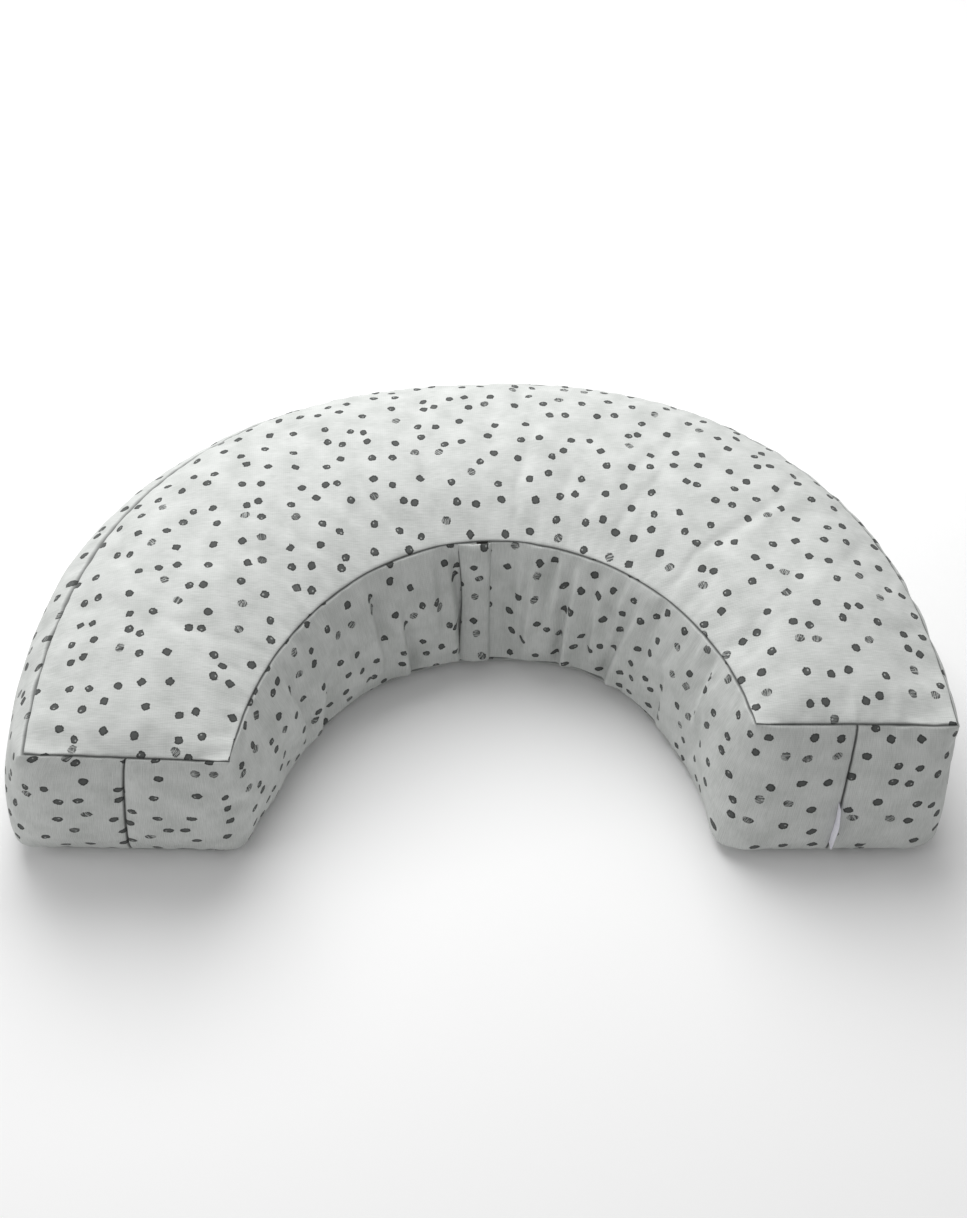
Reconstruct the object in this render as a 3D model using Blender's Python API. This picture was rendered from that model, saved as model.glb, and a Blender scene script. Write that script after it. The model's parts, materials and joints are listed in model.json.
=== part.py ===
"""Half-moon nursing pillow: a zipped, boxed cover over a separate casing with a soft filling.

Metres, +Z up. The pillow lies on its flat side, the open side of the C faces -Y, and the
origin is under the middle of the whole box. Around the zip, "out" is the distance from the
cover's outer face towards -Y, so a layer inside the cushion has a negative value.
"""
import math

import bmesh
import bpy

# Plan of the C, at its seams
OUTER_HALF_WIDTH = 0.378
OUTER_DEPTH = 0.386  # from the widest line back to the outer seam
OUTER_FULLNESS = 2.25  # exponent of the outer curve, where 2 is an ellipse
INNER_HALF_WIDTH = 0.210
INNER_DEPTH = 0.240
INNER_SETBACK = 0.062  # the inner curve's centre lies this far in front of the widest line
LEG_REACH = 0.040  # the legs end this far in front of the widest line

# Heights and swells
TOP_SEAM_HEIGHT = 0.152
BOTTOM_SEAM_HEIGHT = 0.010
CROWN = 0.022  # rise of the top panel above its seam
CROWN_RUN = 0.070  # distance from the seam over which it rises
CROWN_SHARE = 0.42  # the most of the band's width that the run may take
CROWN_FULLNESS = 2.4  # exponent of the rise, where 2 is a parabola
BOTTOM_RUN = 0.025  # distance over which the bottom panel comes down to the floor
SIDE_SWELL = 0.018
END_SWELL = 0.005

# Fabrics, and the gap between pieces that touch
COVER_FABRIC = 0.0012
CASING_FABRIC = 0.0008
GAP = 0.0003
SEAM_SPLIT = 0.0003  # between two boxing pieces that are sewn together

# Placket and zip, on the middle of the inner wall
PLACKET_HALF_OPENING = 0.005
FLAP_HALF_WIDTH = 0.013
FLAP_HEADROOM = 0.0006  # above the slider's bridge
FLAP_FULLNESS = 3  # exponent of its arch over the zip
ZIP_END_MARGIN = 0.006  # from each seam to the tape's end
TAPE_WIDTH = 0.012
TAPE_THICKNESS = 0.0005
CHAIN_HALF_GAP = 0.0005  # rigid rows can't part, so the slider's post runs between them
COIL_WIDTH = 0.0018
COIL_SPINE = 0.0008
COIL_THICKNESS = 0.0015
TOOTH_PITCH = 0.0020
TOOTH_HEIGHT = 0.0011
COIL_END_MARGIN = 0.004  # from the tape's end to the first tooth
STOP_HEIGHT = 0.0022
STOP_HALF_WIDTH = 0.0026
RUNNING_GAP = 0.0004  # around the slider, the bridge and the pull
SLIDER_LENGTH = 0.009
SLIDER_PLATE = 0.0007
SLIDER_FLANGE = 0.0008
SLIDER_FLARE = 0.0006  # the lower end, where the rows part, is this much wider on each side
POST_HALF_WIDTH = 0.0002
BRIDGE_WIDTH = 0.0012
BRIDGE_HALF_LENGTH = 0.0036
BRIDGE_WALL = 0.0007
PULL_LENGTH = 0.018
PULL_HALF_WIDTH = 0.0038
PULL_THICKNESS = 0.0008
PULL_BAR_HALF = 0.0005
PULL_TIP_MARGIN = 0.002  # the pull's tip stays this far above the tape's lower end
GUARD_HALF_WIDTH = 0.015
POCKET_CLEARANCE = 0.003  # beyond the guard, on each side, before the casing comes forward
POCKET_FLARE = 0.006

# Care label, in the seam of the right leg's end
LABEL_BOTTOM = 0.016
LABEL_LENGTH = 0.050
LABEL_REACH = 0.026
LABEL_THICKNESS = 0.0006
LABEL_LEAN = math.radians(-7)  # at rest it leans this far towards the inner side

# Steps of the meshes
ARC_STEPS = 14  # on each half of a curve
WALL_ROWS = 4
CROWN_STEPS = (0.08, 0.2, 0.4, 0.7, 1.0)  # shares of the crown's run, after the rim
BOTTOM_STEPS = (0.3, 0.65, 1.0, 2.2)  # shares of the bottom run, after the rim
END_STEPS = (0.25, 0.5, 0.75)
FLAP_STEPS = 12
LABEL_ROWS = 5
ROUNDING = 1e-6

INNER_APEX = INNER_DEPTH - INNER_SETBACK  # the cover's outer face behind the zip's middle

# Layers, as depths below the cover's outer face
CASING_DEPTH = COVER_FABRIC + GAP
FILLING_DEPTH = CASING_DEPTH + CASING_FABRIC + GAP

# Stack of the zip, as distances out from the cover's outer face
TAPE_OUT = -(COVER_FABRIC + GAP)
TAPE_BACK = TAPE_OUT - TAPE_THICKNESS
COIL_BACK = TAPE_OUT + GAP
COIL_OUT = COIL_BACK + COIL_THICKNESS
FRONT_PLATE_BACK = COIL_OUT + RUNNING_GAP
FRONT_PLATE_OUT = FRONT_PLATE_BACK + SLIDER_PLATE
FLANGE_BACK = TAPE_OUT + RUNNING_GAP
REAR_PLATE_OUT = TAPE_BACK - RUNNING_GAP
REAR_PLATE_BACK = REAR_PLATE_OUT - SLIDER_PLATE
GUARD_OUT = REAR_PLATE_BACK - RUNNING_GAP
GUARD_BACK = GUARD_OUT - CASING_FABRIC
POCKET_OUT = GUARD_BACK - GAP
PULL_BACK = FRONT_PLATE_OUT + RUNNING_GAP
PULL_OUT = PULL_BACK + PULL_THICKNESS
BRIDGE_BACK = PULL_OUT + RUNNING_GAP
BRIDGE_OUT = BRIDGE_BACK + BRIDGE_WALL
FLAP_BACK = BRIDGE_OUT + FLAP_HEADROOM

# Heights of the zip
WALL_BOTTOM = BOTTOM_SEAM_HEIGHT + COVER_FABRIC + GAP
WALL_TOP = TOP_SEAM_HEIGHT - COVER_FABRIC - GAP
TAPE_BOTTOM = WALL_BOTTOM + ZIP_END_MARGIN
TAPE_TOP = WALL_TOP - ZIP_END_MARGIN
COIL_BOTTOM = TAPE_BOTTOM + COIL_END_MARGIN
COIL_TOP = TAPE_TOP - COIL_END_MARGIN
SLIDER_REST = TAPE_BOTTOM + PULL_TIP_MARGIN + PULL_LENGTH
SLIDER_TRAVEL = COIL_TOP - RUNNING_GAP - SLIDER_LENGTH / 2 - SLIDER_REST


def inner_end_angle(inner_inset, end_inset):
    """Angle from the back to the leg's end, seen from the inner curve's centre."""
    rise = (INNER_SETBACK - LEG_REACH + end_inset) / (INNER_DEPTH + inner_inset)
    return math.pi / 2 - math.asin(rise)


def outer_end_angle(outer_inset, end_inset):
    """The same on the outer curve, in the superellipse's own angle."""
    rise = (end_inset - LEG_REACH) / (OUTER_DEPTH - outer_inset)
    return math.pi / 2 - math.copysign(math.asin(abs(rise) ** (OUTER_FULLNESS / 2)), rise)


def station_fractions():
    """Places along the C from the right end (-1) to the left end (1), denser at the zip."""
    end = inner_end_angle(0, 0)
    pocket = GUARD_HALF_WIDTH + POCKET_CLEARANCE
    half = [0.0] + [math.asin(x / INNER_HALF_WIDTH) / end for x in (pocket, pocket + POCKET_FLARE)]
    start = half[-1]
    half += [start + (1 - start) * (i + 1) / ARC_STEPS for i in range(ARC_STEPS)]
    return [-f for f in reversed(half[1:])] + half


STATIONS = station_fractions()
MIDDLE_STATION = len(STATIONS) // 2


def outer_point(fraction, outer_inset, end_inset):
    """A point on the outer curve."""
    angle = math.pi / 2 + fraction * outer_end_angle(outer_inset, end_inset)
    x = math.copysign(abs(math.cos(angle)) ** (2 / OUTER_FULLNESS), math.cos(angle))
    y = math.copysign(abs(math.sin(angle)) ** (2 / OUTER_FULLNESS), math.sin(angle))
    return x * (OUTER_HALF_WIDTH - outer_inset), y * (OUTER_DEPTH - outer_inset)


def inner_point(fraction, inner_inset, end_inset, hollow=None):
    """A point on the inner curve; a hollow is its depth and how many stations wide it is."""
    angle = fraction * inner_end_angle(inner_inset, end_inset)
    x = -math.sin(angle) * (INNER_HALF_WIDTH + inner_inset)
    y = math.cos(angle) * (INNER_DEPTH + inner_inset) - INNER_SETBACK
    if hollow and abs(fraction) < STATIONS[MIDDLE_STATION + hollow[1]] + ROUNDING:
        y = max(y, INNER_APEX + hollow[0])
    return x, y


def swell(height, most):
    """How far a wall stands out at a height between its two seams."""
    share = (height - BOTTOM_SEAM_HEIGHT) / (TOP_SEAM_HEIGHT - BOTTOM_SEAM_HEIGHT)
    return most * 4 * share * (1 - share)


def end_point(side, fraction, insets):
    """A point on a leg's end, from the outer corner (0) to the inner corner (1)."""
    outer_inset, inner_inset, end_inset = insets
    outer = outer_point(side, outer_inset, end_inset)
    inner = inner_point(side, inner_inset, end_inset)
    return tuple(a + (b - a) * fraction for a, b in zip(outer, inner))


def plan_loop(insets, hollow=None):
    """The closed outline: outer curve, left end, inner curve, right end."""
    outer_inset, inner_inset, end_inset = insets
    loop = [outer_point(f, outer_inset, end_inset) for f in STATIONS]
    loop += [end_point(1, f, insets) for f in END_STEPS]
    loop += [inner_point(f, inner_inset, end_inset, hollow) for f in reversed(STATIONS)]
    loop += [end_point(-1, f, insets) for f in reversed(END_STEPS)]
    return loop


def wall_insets(height, depth):
    """Insets of a side wall's layer at a height: outer curve, inner curve and ends."""
    return depth - swell(height, SIDE_SWELL), depth, depth - swell(height, END_SWELL)


def narrowest_band():
    """The C's width where it is narrowest."""
    outer = outer_point(-1, 0, 0)[0]
    inner = inner_point(-1, 0, 0)[0]
    return min(outer - inner, OUTER_DEPTH - INNER_APEX)


def crown_run():
    """Distance from the seam over which the top panel rises."""
    return min(CROWN_RUN, CROWN_SHARE * narrowest_band())


def top_height(inset):
    """Height of the top panel at a distance in from its seam."""
    share = min(inset / crown_run(), 1)
    return TOP_SEAM_HEIGHT + CROWN * (1 - (1 - share) ** CROWN_FULLNESS)


def bottom_height(inset):
    """Height of the bottom panel at a distance in from its seam."""
    return BOTTOM_SEAM_HEIGHT * max(1 - inset / BOTTOM_RUN, 0) ** 2


LABEL_ROOT = end_point(-1, 0.5, (0, 0, 0))
LABEL_AXIS_Y = LABEL_ROOT[1] - swell(LABEL_BOTTOM + LABEL_LENGTH, END_SWELL) - GAP
FRONT_Y = LABEL_AXIS_Y - LABEL_REACH * math.cos(LABEL_LEAN)
BACK_Y = OUTER_DEPTH + SIDE_SWELL
CENTRE_Y = (FRONT_Y + BACK_Y) / 2  # the whole box is centred on the origin


def placed(point, height):
    """A plan point and a height, in the part's own frame."""
    return point[0], point[1] - CENTRE_Y, height


def at_zip(x, out, height):
    """A point near the zip, from its distance out from the cover's face."""
    return placed((x, INNER_APEX - out), height)


def surface(name, colour, roughness, metallic=0.0):
    """A plain material."""
    material = bpy.data.materials.new(name)
    material.use_nodes = True
    shader = material.node_tree.nodes["Principled BSDF"]
    shader.inputs["Base Color"].default_value = (*colour, 1)
    shader.inputs["Roughness"].default_value = roughness
    shader.inputs["Metallic"].default_value = metallic
    material.diffuse_color = (*colour, 1)
    return material


def add_solid(name, points, faces, finish):
    """A closed mesh object with its faces turned outwards."""
    shape = bmesh.new()
    vertices = [shape.verts.new(p) for p in points]
    for face in faces:
        shape.faces.new([vertices[i] for i in face])
    bmesh.ops.recalc_face_normals(shape, faces=shape.faces)
    mesh = bpy.data.meshes.new(name)
    shape.to_mesh(mesh)
    shape.free()
    mesh.materials.append(surface(name, *finish))
    thing = bpy.data.objects.new(name, mesh)
    bpy.context.scene.collection.objects.link(thing)
    return thing


def set_origin(thing, point):
    """Moves an object's origin onto its joint's axis and leaves its shape where it is."""
    for vertex in thing.data.vertices:
        vertex.co = [a - b for a, b in zip(vertex.co, point)]
    thing.location = point


def add_rings(name, rings, finish):
    """A solid through equal plan loops, closed across the C at its first and last loop."""
    count = len(rings[0])
    last = len(STATIONS) - 1
    points = [p for ring in rings for p in ring]
    faces = []
    for r in range(len(rings) - 1):
        for i in range(count):
            a, b = r * count + i, r * count + (i + 1) % count
            faces.append((a, b, b + count, a + count))
    for base in (0, (len(rings) - 1) * count):
        across = [base + 2 * last + 1 + len(END_STEPS) - i for i in range(last + 1)]
        for i in range(last):
            faces.append((base + i, base + i + 1, across[i + 1], across[i]))
        ends = range(1, len(END_STEPS) + 1)
        faces.append([base + last] + [base + last + i for i in ends] + [across[last]])
        faces.append([across[0]] + [across[0] + i for i in ends] + [base])
    return add_solid(name, points, faces, finish)


def add_sheet(name, front, back, finish, ring=False):
    """A solid between two equal grids of points; with ring, its columns close on themselves."""
    rows, columns = len(front), len(front[0])
    points = [p for row in front for p in row] + [p for row in back for p in row]
    offset = rows * columns
    faces = []
    spans = columns if ring else columns - 1
    for r in range(rows - 1):
        for c in range(spans):
            d = (c + 1) % columns
            quad = (r * columns + c, r * columns + d, (r + 1) * columns + d, (r + 1) * columns + c)
            faces += [quad, tuple(i + offset for i in quad)]
    for r in (0, rows - 1):
        for c in range(spans):
            a, b = r * columns + c, r * columns + (c + 1) % columns
            faces.append((a, b, b + offset, a + offset))
    if not ring:
        for c in (0, columns - 1):
            for r in range(rows - 1):
                a, b = r * columns + c, (r + 1) * columns + c
                faces.append((a, b, b + offset, a + offset))
    return add_solid(name, points, faces, finish)


def add_extrusion(name, start, end, finish):
    """A solid between two equal polygons."""
    count = len(start)
    faces = [tuple(range(count)), tuple(range(count, 2 * count))]
    faces += [(i, (i + 1) % count, (i + 1) % count + count, i + count) for i in range(count)]
    return add_solid(name, list(start) + list(end), faces, finish)


def add_zip_block(name, x_range, out_range, height_range, finish):
    """A box near the zip, from its ranges across, out and up."""
    (x0, x1), (out0, out1) = x_range, out_range
    corners = ((x0, out0), (x1, out0), (x1, out1), (x0, out1))
    ends = [[at_zip(x, out, height) for x, out in corners] for height in height_range]
    return add_extrusion(name, *ends, finish)


def unite(thing, other):
    """Joins another solid to this one and removes it."""
    union = thing.modifiers.new("united", "BOOLEAN")
    union.operation = "UNION"
    union.object = other
    bpy.context.view_layer.update()
    evaluated = thing.evaluated_get(bpy.context.evaluated_depsgraph_get())
    mesh = bpy.data.meshes.new_from_object(evaluated)
    thing.modifiers.clear()
    thing.data = mesh
    bpy.data.objects.remove(other)


JERSEY = ((0.62, 0.63, 0.62), 0.95)
LINING = ((0.80, 0.80, 0.78), 0.95)
FIBRE = ((0.90, 0.90, 0.88), 1.0)
TAPE = ((0.60, 0.61, 0.60), 0.85)
NYLON = ((0.55, 0.56, 0.56), 0.4)
ZIP_METAL = ((0.55, 0.56, 0.57), 0.35, 1.0)
SATIN = ((0.86, 0.85, 0.90), 0.45)


def top_rings(depth):
    """Loops of a top layer's face, from its rim to the middle of the band."""
    run = crown_run()
    rings = []
    for inset in [depth] + [step * run for step in CROWN_STEPS]:
        loop = plan_loop((inset, inset, inset), pocket(depth))
        rings.append([placed(p, top_height(inset) - depth) for p in loop])
    return rings


def bottom_rings(depth):
    """Loops of a bottom layer's face, from its rim to the middle of the band."""
    rings = []
    for inset in [depth] + [min(step * BOTTOM_RUN, crown_run()) for step in BOTTOM_STEPS]:
        loop = plan_loop((inset, inset, inset), pocket(depth))
        rings.append([placed(p, bottom_height(inset) + depth) for p in loop])
    return rings


def pocket(depth):
    """The hollow that a layer leaves behind the zip, wider in the filling; the cover has none."""
    if depth < CASING_DEPTH:
        return None
    return depth - CASING_DEPTH - POCKET_OUT, 2 if depth >= FILLING_DEPTH else 1


def wall_heights(bottom, top):
    """Heights of a side wall's rows."""
    return [bottom + (top - bottom) * i / WALL_ROWS for i in range(WALL_ROWS + 1)]


def build_panels():
    """The cover's two C-shaped panels."""
    outside, inside = top_rings(0), top_rings(0)
    inside = [[(x, y, z - COVER_FABRIC) for x, y, z in ring] for ring in inside]
    add_rings("top_panel", inside[::-1] + outside, JERSEY)
    outside = bottom_rings(0)
    inside = [[(x, y, z + COVER_FABRIC) for x, y, z in ring] for ring in outside]
    add_rings("bottom_panel", outside[::-1] + inside, JERSEY)


def outer_path(insets):
    """Plan of the outer boxing, from the right end's middle seam to the left end's."""
    width = end_point(-1, 0, insets)[0] - end_point(-1, 1, insets)[0]
    middle = 0.5 - SEAM_SPLIT / 2 / width
    path = [end_point(-1, f, insets) for f in (middle, END_STEPS[0])]
    path += [outer_point(f, insets[0], insets[2]) for f in STATIONS]
    return path + [end_point(1, f, insets) for f in (END_STEPS[0], middle)]


def inner_path(insets):
    """Plan of the left inner boxing, from the end's middle seam to the placket."""
    width = end_point(-1, 0, insets)[0] - end_point(-1, 1, insets)[0]
    middle = 0.5 + SEAM_SPLIT / 2 / width
    half_width = INNER_HALF_WIDTH + insets[1]
    placket = math.asin(PLACKET_HALF_OPENING / half_width) / inner_end_angle(insets[1], insets[2])
    path = [end_point(1, f, insets) for f in (middle, END_STEPS[-1])]
    path += [inner_point(f, insets[1], insets[2]) for f in reversed(STATIONS) if f > placket]
    return path + [inner_point(placket, insets[1], insets[2])]


def mirrored(path):
    """The same path on the other leg."""
    return [(-x, y) for x, y in path]


def build_boxing():
    """The cover's side walls: one outer strip, and two inner strips that meet at the zip."""
    heights = wall_heights(WALL_BOTTOM, WALL_TOP)
    strips = {
        "outer_boxing": outer_path,
        "inner_boxing_left": inner_path,
        "inner_boxing_right": lambda insets: mirrored(inner_path(insets)),
    }
    for name, path in strips.items():
        faces = [
            [[placed(p, h) for p in path(wall_insets(h, depth))] for h in heights]
            for depth in (0, COVER_FABRIC)
        ]
        add_sheet(name, *faces, JERSEY)


def build_casing():
    """The casing that holds the filling, inside the cover."""
    outside = top_rings(CASING_DEPTH)
    inside = [[(x, y, z - CASING_FABRIC) for x, y, z in ring] for ring in outside]
    add_rings("casing_top", inside[::-1] + outside, LINING)
    top = inside[0][0][2] - GAP
    outside = bottom_rings(CASING_DEPTH)
    inside = [[(x, y, z + CASING_FABRIC) for x, y, z in ring] for ring in outside]
    add_rings("casing_bottom", outside[::-1] + inside, LINING)
    bottom = inside[0][0][2] + GAP
    faces = []
    for depth in (CASING_DEPTH, CASING_DEPTH + CASING_FABRIC):
        faces.append([
            [placed(p, h) for p in plan_loop(wall_insets(h, depth), pocket(depth))]
            for h in wall_heights(bottom, top)
        ])
    add_sheet("casing_boxing", *faces, LINING, ring=True)


def build_filling():
    """The fibre filling, as one soft body that fills the casing."""
    top, bottom = top_rings(FILLING_DEPTH), bottom_rings(FILLING_DEPTH)
    heights = wall_heights(bottom[0][0][2], top[0][0][2])[1:-1]
    walls = [
        [placed(p, h) for p in plan_loop(wall_insets(h, FILLING_DEPTH), pocket(FILLING_DEPTH))]
        for h in heights
    ]
    add_rings("fibre_filling", bottom[::-1] + walls + top, FIBRE)


def coil_outline(side):
    """Plan of one row of teeth, as points across and up."""
    spine_outside = CHAIN_HALF_GAP + COIL_WIDTH
    spine_inside = spine_outside - COIL_SPINE
    outline = [(spine_outside, COIL_TOP), (spine_outside, COIL_BOTTOM)]
    teeth = int((COIL_TOP - COIL_BOTTOM) / TOOTH_PITCH)
    for i in range(teeth):
        low = COIL_BOTTOM + i * TOOTH_PITCH
        high = low + TOOTH_HEIGHT
        outline += [(CHAIN_HALF_GAP, low), (CHAIN_HALF_GAP, high), (spine_inside, high)]
        if i < teeth - 1:
            outline.append((spine_inside, low + TOOTH_PITCH))
    outline.append((spine_inside, COIL_TOP))
    return [(side * x, height) for x, height in outline]


def build_zip_chain():
    """Tapes, rows of teeth, stops and the guard behind them."""
    heights = (TAPE_BOTTOM, TAPE_TOP)
    for word, side in (("left", -1), ("right", 1)):
        span = sorted((side * CHAIN_HALF_GAP, side * (CHAIN_HALF_GAP + TAPE_WIDTH)))
        add_zip_block(f"zip_tape_{word}", span, (TAPE_BACK, TAPE_OUT), heights, TAPE)
        outline = coil_outline(side)
        faces = [[at_zip(x, out, height) for x, height in outline] for out in (COIL_BACK, COIL_OUT)]
        add_extrusion(f"zip_coil_{word}", *faces, NYLON)
    stop_span = (-STOP_HALF_WIDTH, STOP_HALF_WIDTH)
    low = (COIL_BOTTOM - GAP - STOP_HEIGHT, COIL_BOTTOM - GAP)
    high = (COIL_TOP + GAP, COIL_TOP + GAP + STOP_HEIGHT)
    add_zip_block("zip_lower_stop", stop_span, (COIL_BACK, COIL_OUT), low, ZIP_METAL)
    add_zip_block("zip_upper_stop", stop_span, (COIL_BACK, COIL_OUT), high, ZIP_METAL)
    guard_span = (-GUARD_HALF_WIDTH, GUARD_HALF_WIDTH)
    add_zip_block("zip_guard", guard_span, (GUARD_BACK, GUARD_OUT), heights, LINING)


def slider_section(half_width):
    """Half of the slider's section, mirrored: front plate with flanges, post, rear plate."""
    inside = half_width - SLIDER_FLANGE
    half = [
        (half_width, FRONT_PLATE_OUT), (half_width, FLANGE_BACK), (inside, FLANGE_BACK),
        (inside, FRONT_PLATE_BACK), (POST_HALF_WIDTH, FRONT_PLATE_BACK),
        (POST_HALF_WIDTH, REAR_PLATE_OUT), (half_width, REAR_PLATE_OUT),
        (half_width, REAR_PLATE_BACK),
    ]
    return half + [(-x, out) for x, out in reversed(half)]


def build_slider():
    """The slider, with the bridge that carries its pull."""
    narrow = CHAIN_HALF_GAP + COIL_WIDTH + RUNNING_GAP + SLIDER_FLANGE
    low, high = SLIDER_REST - SLIDER_LENGTH / 2, SLIDER_REST + SLIDER_LENGTH / 2
    start = [at_zip(x, out, low) for x, out in slider_section(narrow + SLIDER_FLARE)]
    end = [at_zip(x, out, high) for x, out in slider_section(narrow)]
    slider = add_extrusion("zip_slider", start, end, ZIP_METAL)
    foot = FRONT_PLATE_OUT - SLIDER_PLATE / 2
    inside = BRIDGE_HALF_LENGTH - BRIDGE_WALL
    arch = [
        (-BRIDGE_HALF_LENGTH, foot), (-BRIDGE_HALF_LENGTH, BRIDGE_BACK), (-inside, BRIDGE_OUT),
        (inside, BRIDGE_OUT), (BRIDGE_HALF_LENGTH, BRIDGE_BACK), (BRIDGE_HALF_LENGTH, foot),
        (inside, foot), (inside, BRIDGE_BACK), (-inside, BRIDGE_BACK), (-inside, foot),
    ]
    sides = [
        [at_zip(x, out, SLIDER_REST + height) for height, out in arch]
        for x in (-BRIDGE_WIDTH / 2, BRIDGE_WIDTH / 2)
    ]
    unite(slider, add_extrusion("bridge", *sides, ZIP_METAL))
    set_origin(slider, at_zip(0, (FRONT_PLATE_BACK + FRONT_PLATE_OUT) / 2, SLIDER_REST))


def build_pull():
    """The pull tab, whose top bar lies under the slider's bridge."""
    hole_half = BRIDGE_WIDTH / 2 + RUNNING_GAP
    reach = math.hypot(BRIDGE_HALF_LENGTH, BRIDGE_OUT - (PULL_BACK + PULL_OUT) / 2) + RUNNING_GAP
    top, tip = PULL_BAR_HALF, PULL_BAR_HALF - PULL_LENGTH
    shoulder = PULL_HALF_WIDTH / 2
    rim = [
        (-PULL_HALF_WIDTH, top), (PULL_HALF_WIDTH, top), (PULL_HALF_WIDTH, tip + shoulder),
        (shoulder, tip), (-shoulder, tip), (-PULL_HALF_WIDTH, tip + shoulder),
    ]
    hole = [
        (-hole_half, -PULL_BAR_HALF), (hole_half, -PULL_BAR_HALF), (hole_half, -reach),
        (hole_half / 2, -reach), (-hole_half / 2, -reach), (-hole_half, -reach),
    ]
    points = [
        at_zip(x, out, SLIDER_REST + height)
        for out in (PULL_BACK, PULL_OUT) for x, height in rim + hole
    ]
    count = len(rim)
    faces = []
    for i in range(count):
        j = (i + 1) % count
        faces.append((i, j, j + count, i + count))
        faces.append((i + 2 * count, j + 2 * count, j + 3 * count, i + 3 * count))
        faces.append((i, j, j + 2 * count, i + 2 * count))
        faces.append((i + count, j + count, j + 3 * count, i + 3 * count))
    pull = add_solid("zip_pull", points, faces, ZIP_METAL)
    set_origin(pull, at_zip(0, (PULL_BACK + PULL_OUT) / 2, SLIDER_REST))


def build_flap():
    """The placket flap: sewn down on its left edge, free on its right."""
    across = [FLAP_HALF_WIDTH * (2 * i / FLAP_STEPS - 1) for i in range(FLAP_STEPS + 1)]
    seat = INNER_DEPTH * (1 - math.sqrt(1 - (FLAP_HALF_WIDTH / INNER_HALF_WIDTH) ** 2)) + GAP
    arch = [1 - abs(x / FLAP_HALF_WIDTH) ** FLAP_FULLNESS for x in across]
    rise = [seat + (FLAP_BACK - seat) * share for share in arch]
    sides = [
        [[at_zip(x, out + extra, h) for x, out in zip(across, rise)] for h in (WALL_BOTTOM, WALL_TOP)]
        for extra in (0, COVER_FABRIC)
    ]
    flap = add_sheet("placket_flap", *sides, JERSEY)
    set_origin(flap, at_zip(-FLAP_HALF_WIDTH, seat + COVER_FABRIC / 2, WALL_BOTTOM))


def build_label():
    """The care label, held in the seam of the right leg's end."""
    reach_x, reach_y = math.sin(LABEL_LEAN), -math.cos(LABEL_LEAN)
    half_x, half_y = LABEL_THICKNESS / 2 * reach_y, -LABEL_THICKNESS / 2 * reach_x
    corner_reach = LABEL_THICKNESS / 2 * abs(math.tan(LABEL_LEAN))  # keeps its near corner clear
    root_x, seam_y = LABEL_ROOT
    sides = []
    for side in (1, -1):
        face_x, face_y = root_x + half_x * side, LABEL_AXIS_Y + half_y * side
        grid = []
        for row in range(LABEL_ROWS + 1):
            height = LABEL_BOTTOM + LABEL_LENGTH * row / LABEL_ROWS
            wall_y = seam_y - swell(height, END_SWELL) - GAP
            near = (LABEL_AXIS_Y - wall_y) / -reach_y + corner_reach
            grid.append([
                placed((face_x + reach_x * reach, face_y + reach_y * reach), height)
                for reach in (near, LABEL_REACH)
            ])
        sides.append(grid)
    label = add_sheet("care_label", *sides, SATIN)
    set_origin(label, placed((root_x, LABEL_AXIS_Y), LABEL_BOTTOM))


def main():
    """Clears the scene and builds every piece."""
    for thing in list(bpy.data.objects):
        bpy.data.objects.remove(thing)
    build_panels()
    build_boxing()
    build_flap()
    build_zip_chain()
    build_slider()
    build_pull()
    build_label()
    build_casing()
    build_filling()


main()
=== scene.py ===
"""Looks of a half-moon nursing pillow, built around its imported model.

The cover is one padded form, swelled by a cloth simulation and then cut along its seams into
the panels that a maker sews together. The placket, the care label and the filled casing
follow that form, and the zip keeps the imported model's own pieces with finished surfaces.
"""
import json
import logging
import math
from dataclasses import dataclass, field
from enum import Enum
from typing import Any, Callable, Iterable, Sequence

import bpy
import numpy as np
from mathutils import Matrix, Vector

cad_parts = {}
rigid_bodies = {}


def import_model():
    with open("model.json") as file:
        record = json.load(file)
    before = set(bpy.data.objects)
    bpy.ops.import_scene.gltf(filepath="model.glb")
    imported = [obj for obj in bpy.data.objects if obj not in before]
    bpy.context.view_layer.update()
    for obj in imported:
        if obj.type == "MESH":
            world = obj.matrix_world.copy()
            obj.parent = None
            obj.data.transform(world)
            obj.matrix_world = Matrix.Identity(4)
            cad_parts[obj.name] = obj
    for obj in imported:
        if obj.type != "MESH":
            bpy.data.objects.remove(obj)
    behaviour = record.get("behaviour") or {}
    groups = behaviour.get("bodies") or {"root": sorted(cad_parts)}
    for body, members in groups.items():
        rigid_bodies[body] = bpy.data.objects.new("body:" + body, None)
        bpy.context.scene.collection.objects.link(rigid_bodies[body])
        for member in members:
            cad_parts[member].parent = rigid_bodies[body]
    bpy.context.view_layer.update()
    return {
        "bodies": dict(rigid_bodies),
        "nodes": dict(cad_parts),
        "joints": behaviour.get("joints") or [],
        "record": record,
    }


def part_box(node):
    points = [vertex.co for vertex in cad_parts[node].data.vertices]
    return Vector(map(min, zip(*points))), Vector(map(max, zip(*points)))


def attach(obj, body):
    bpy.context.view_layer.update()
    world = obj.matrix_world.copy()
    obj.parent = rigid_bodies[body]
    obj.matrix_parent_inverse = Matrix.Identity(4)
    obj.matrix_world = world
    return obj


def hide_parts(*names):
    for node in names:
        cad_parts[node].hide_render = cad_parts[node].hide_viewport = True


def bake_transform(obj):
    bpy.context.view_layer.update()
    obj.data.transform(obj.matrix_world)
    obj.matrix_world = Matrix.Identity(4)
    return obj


Array = np.ndarray
Node = bpy.types.Node
Socket = bpy.types.NodeSocket

log = logging.getLogger("pillow")
MM = 0.001


# ---------------------------------------------------------------- finishes


class Grain(Enum):
    """Which way a cloth's knit ribs run on its piece."""

    ALONG_U = 0
    ALONG_V = 1


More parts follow.
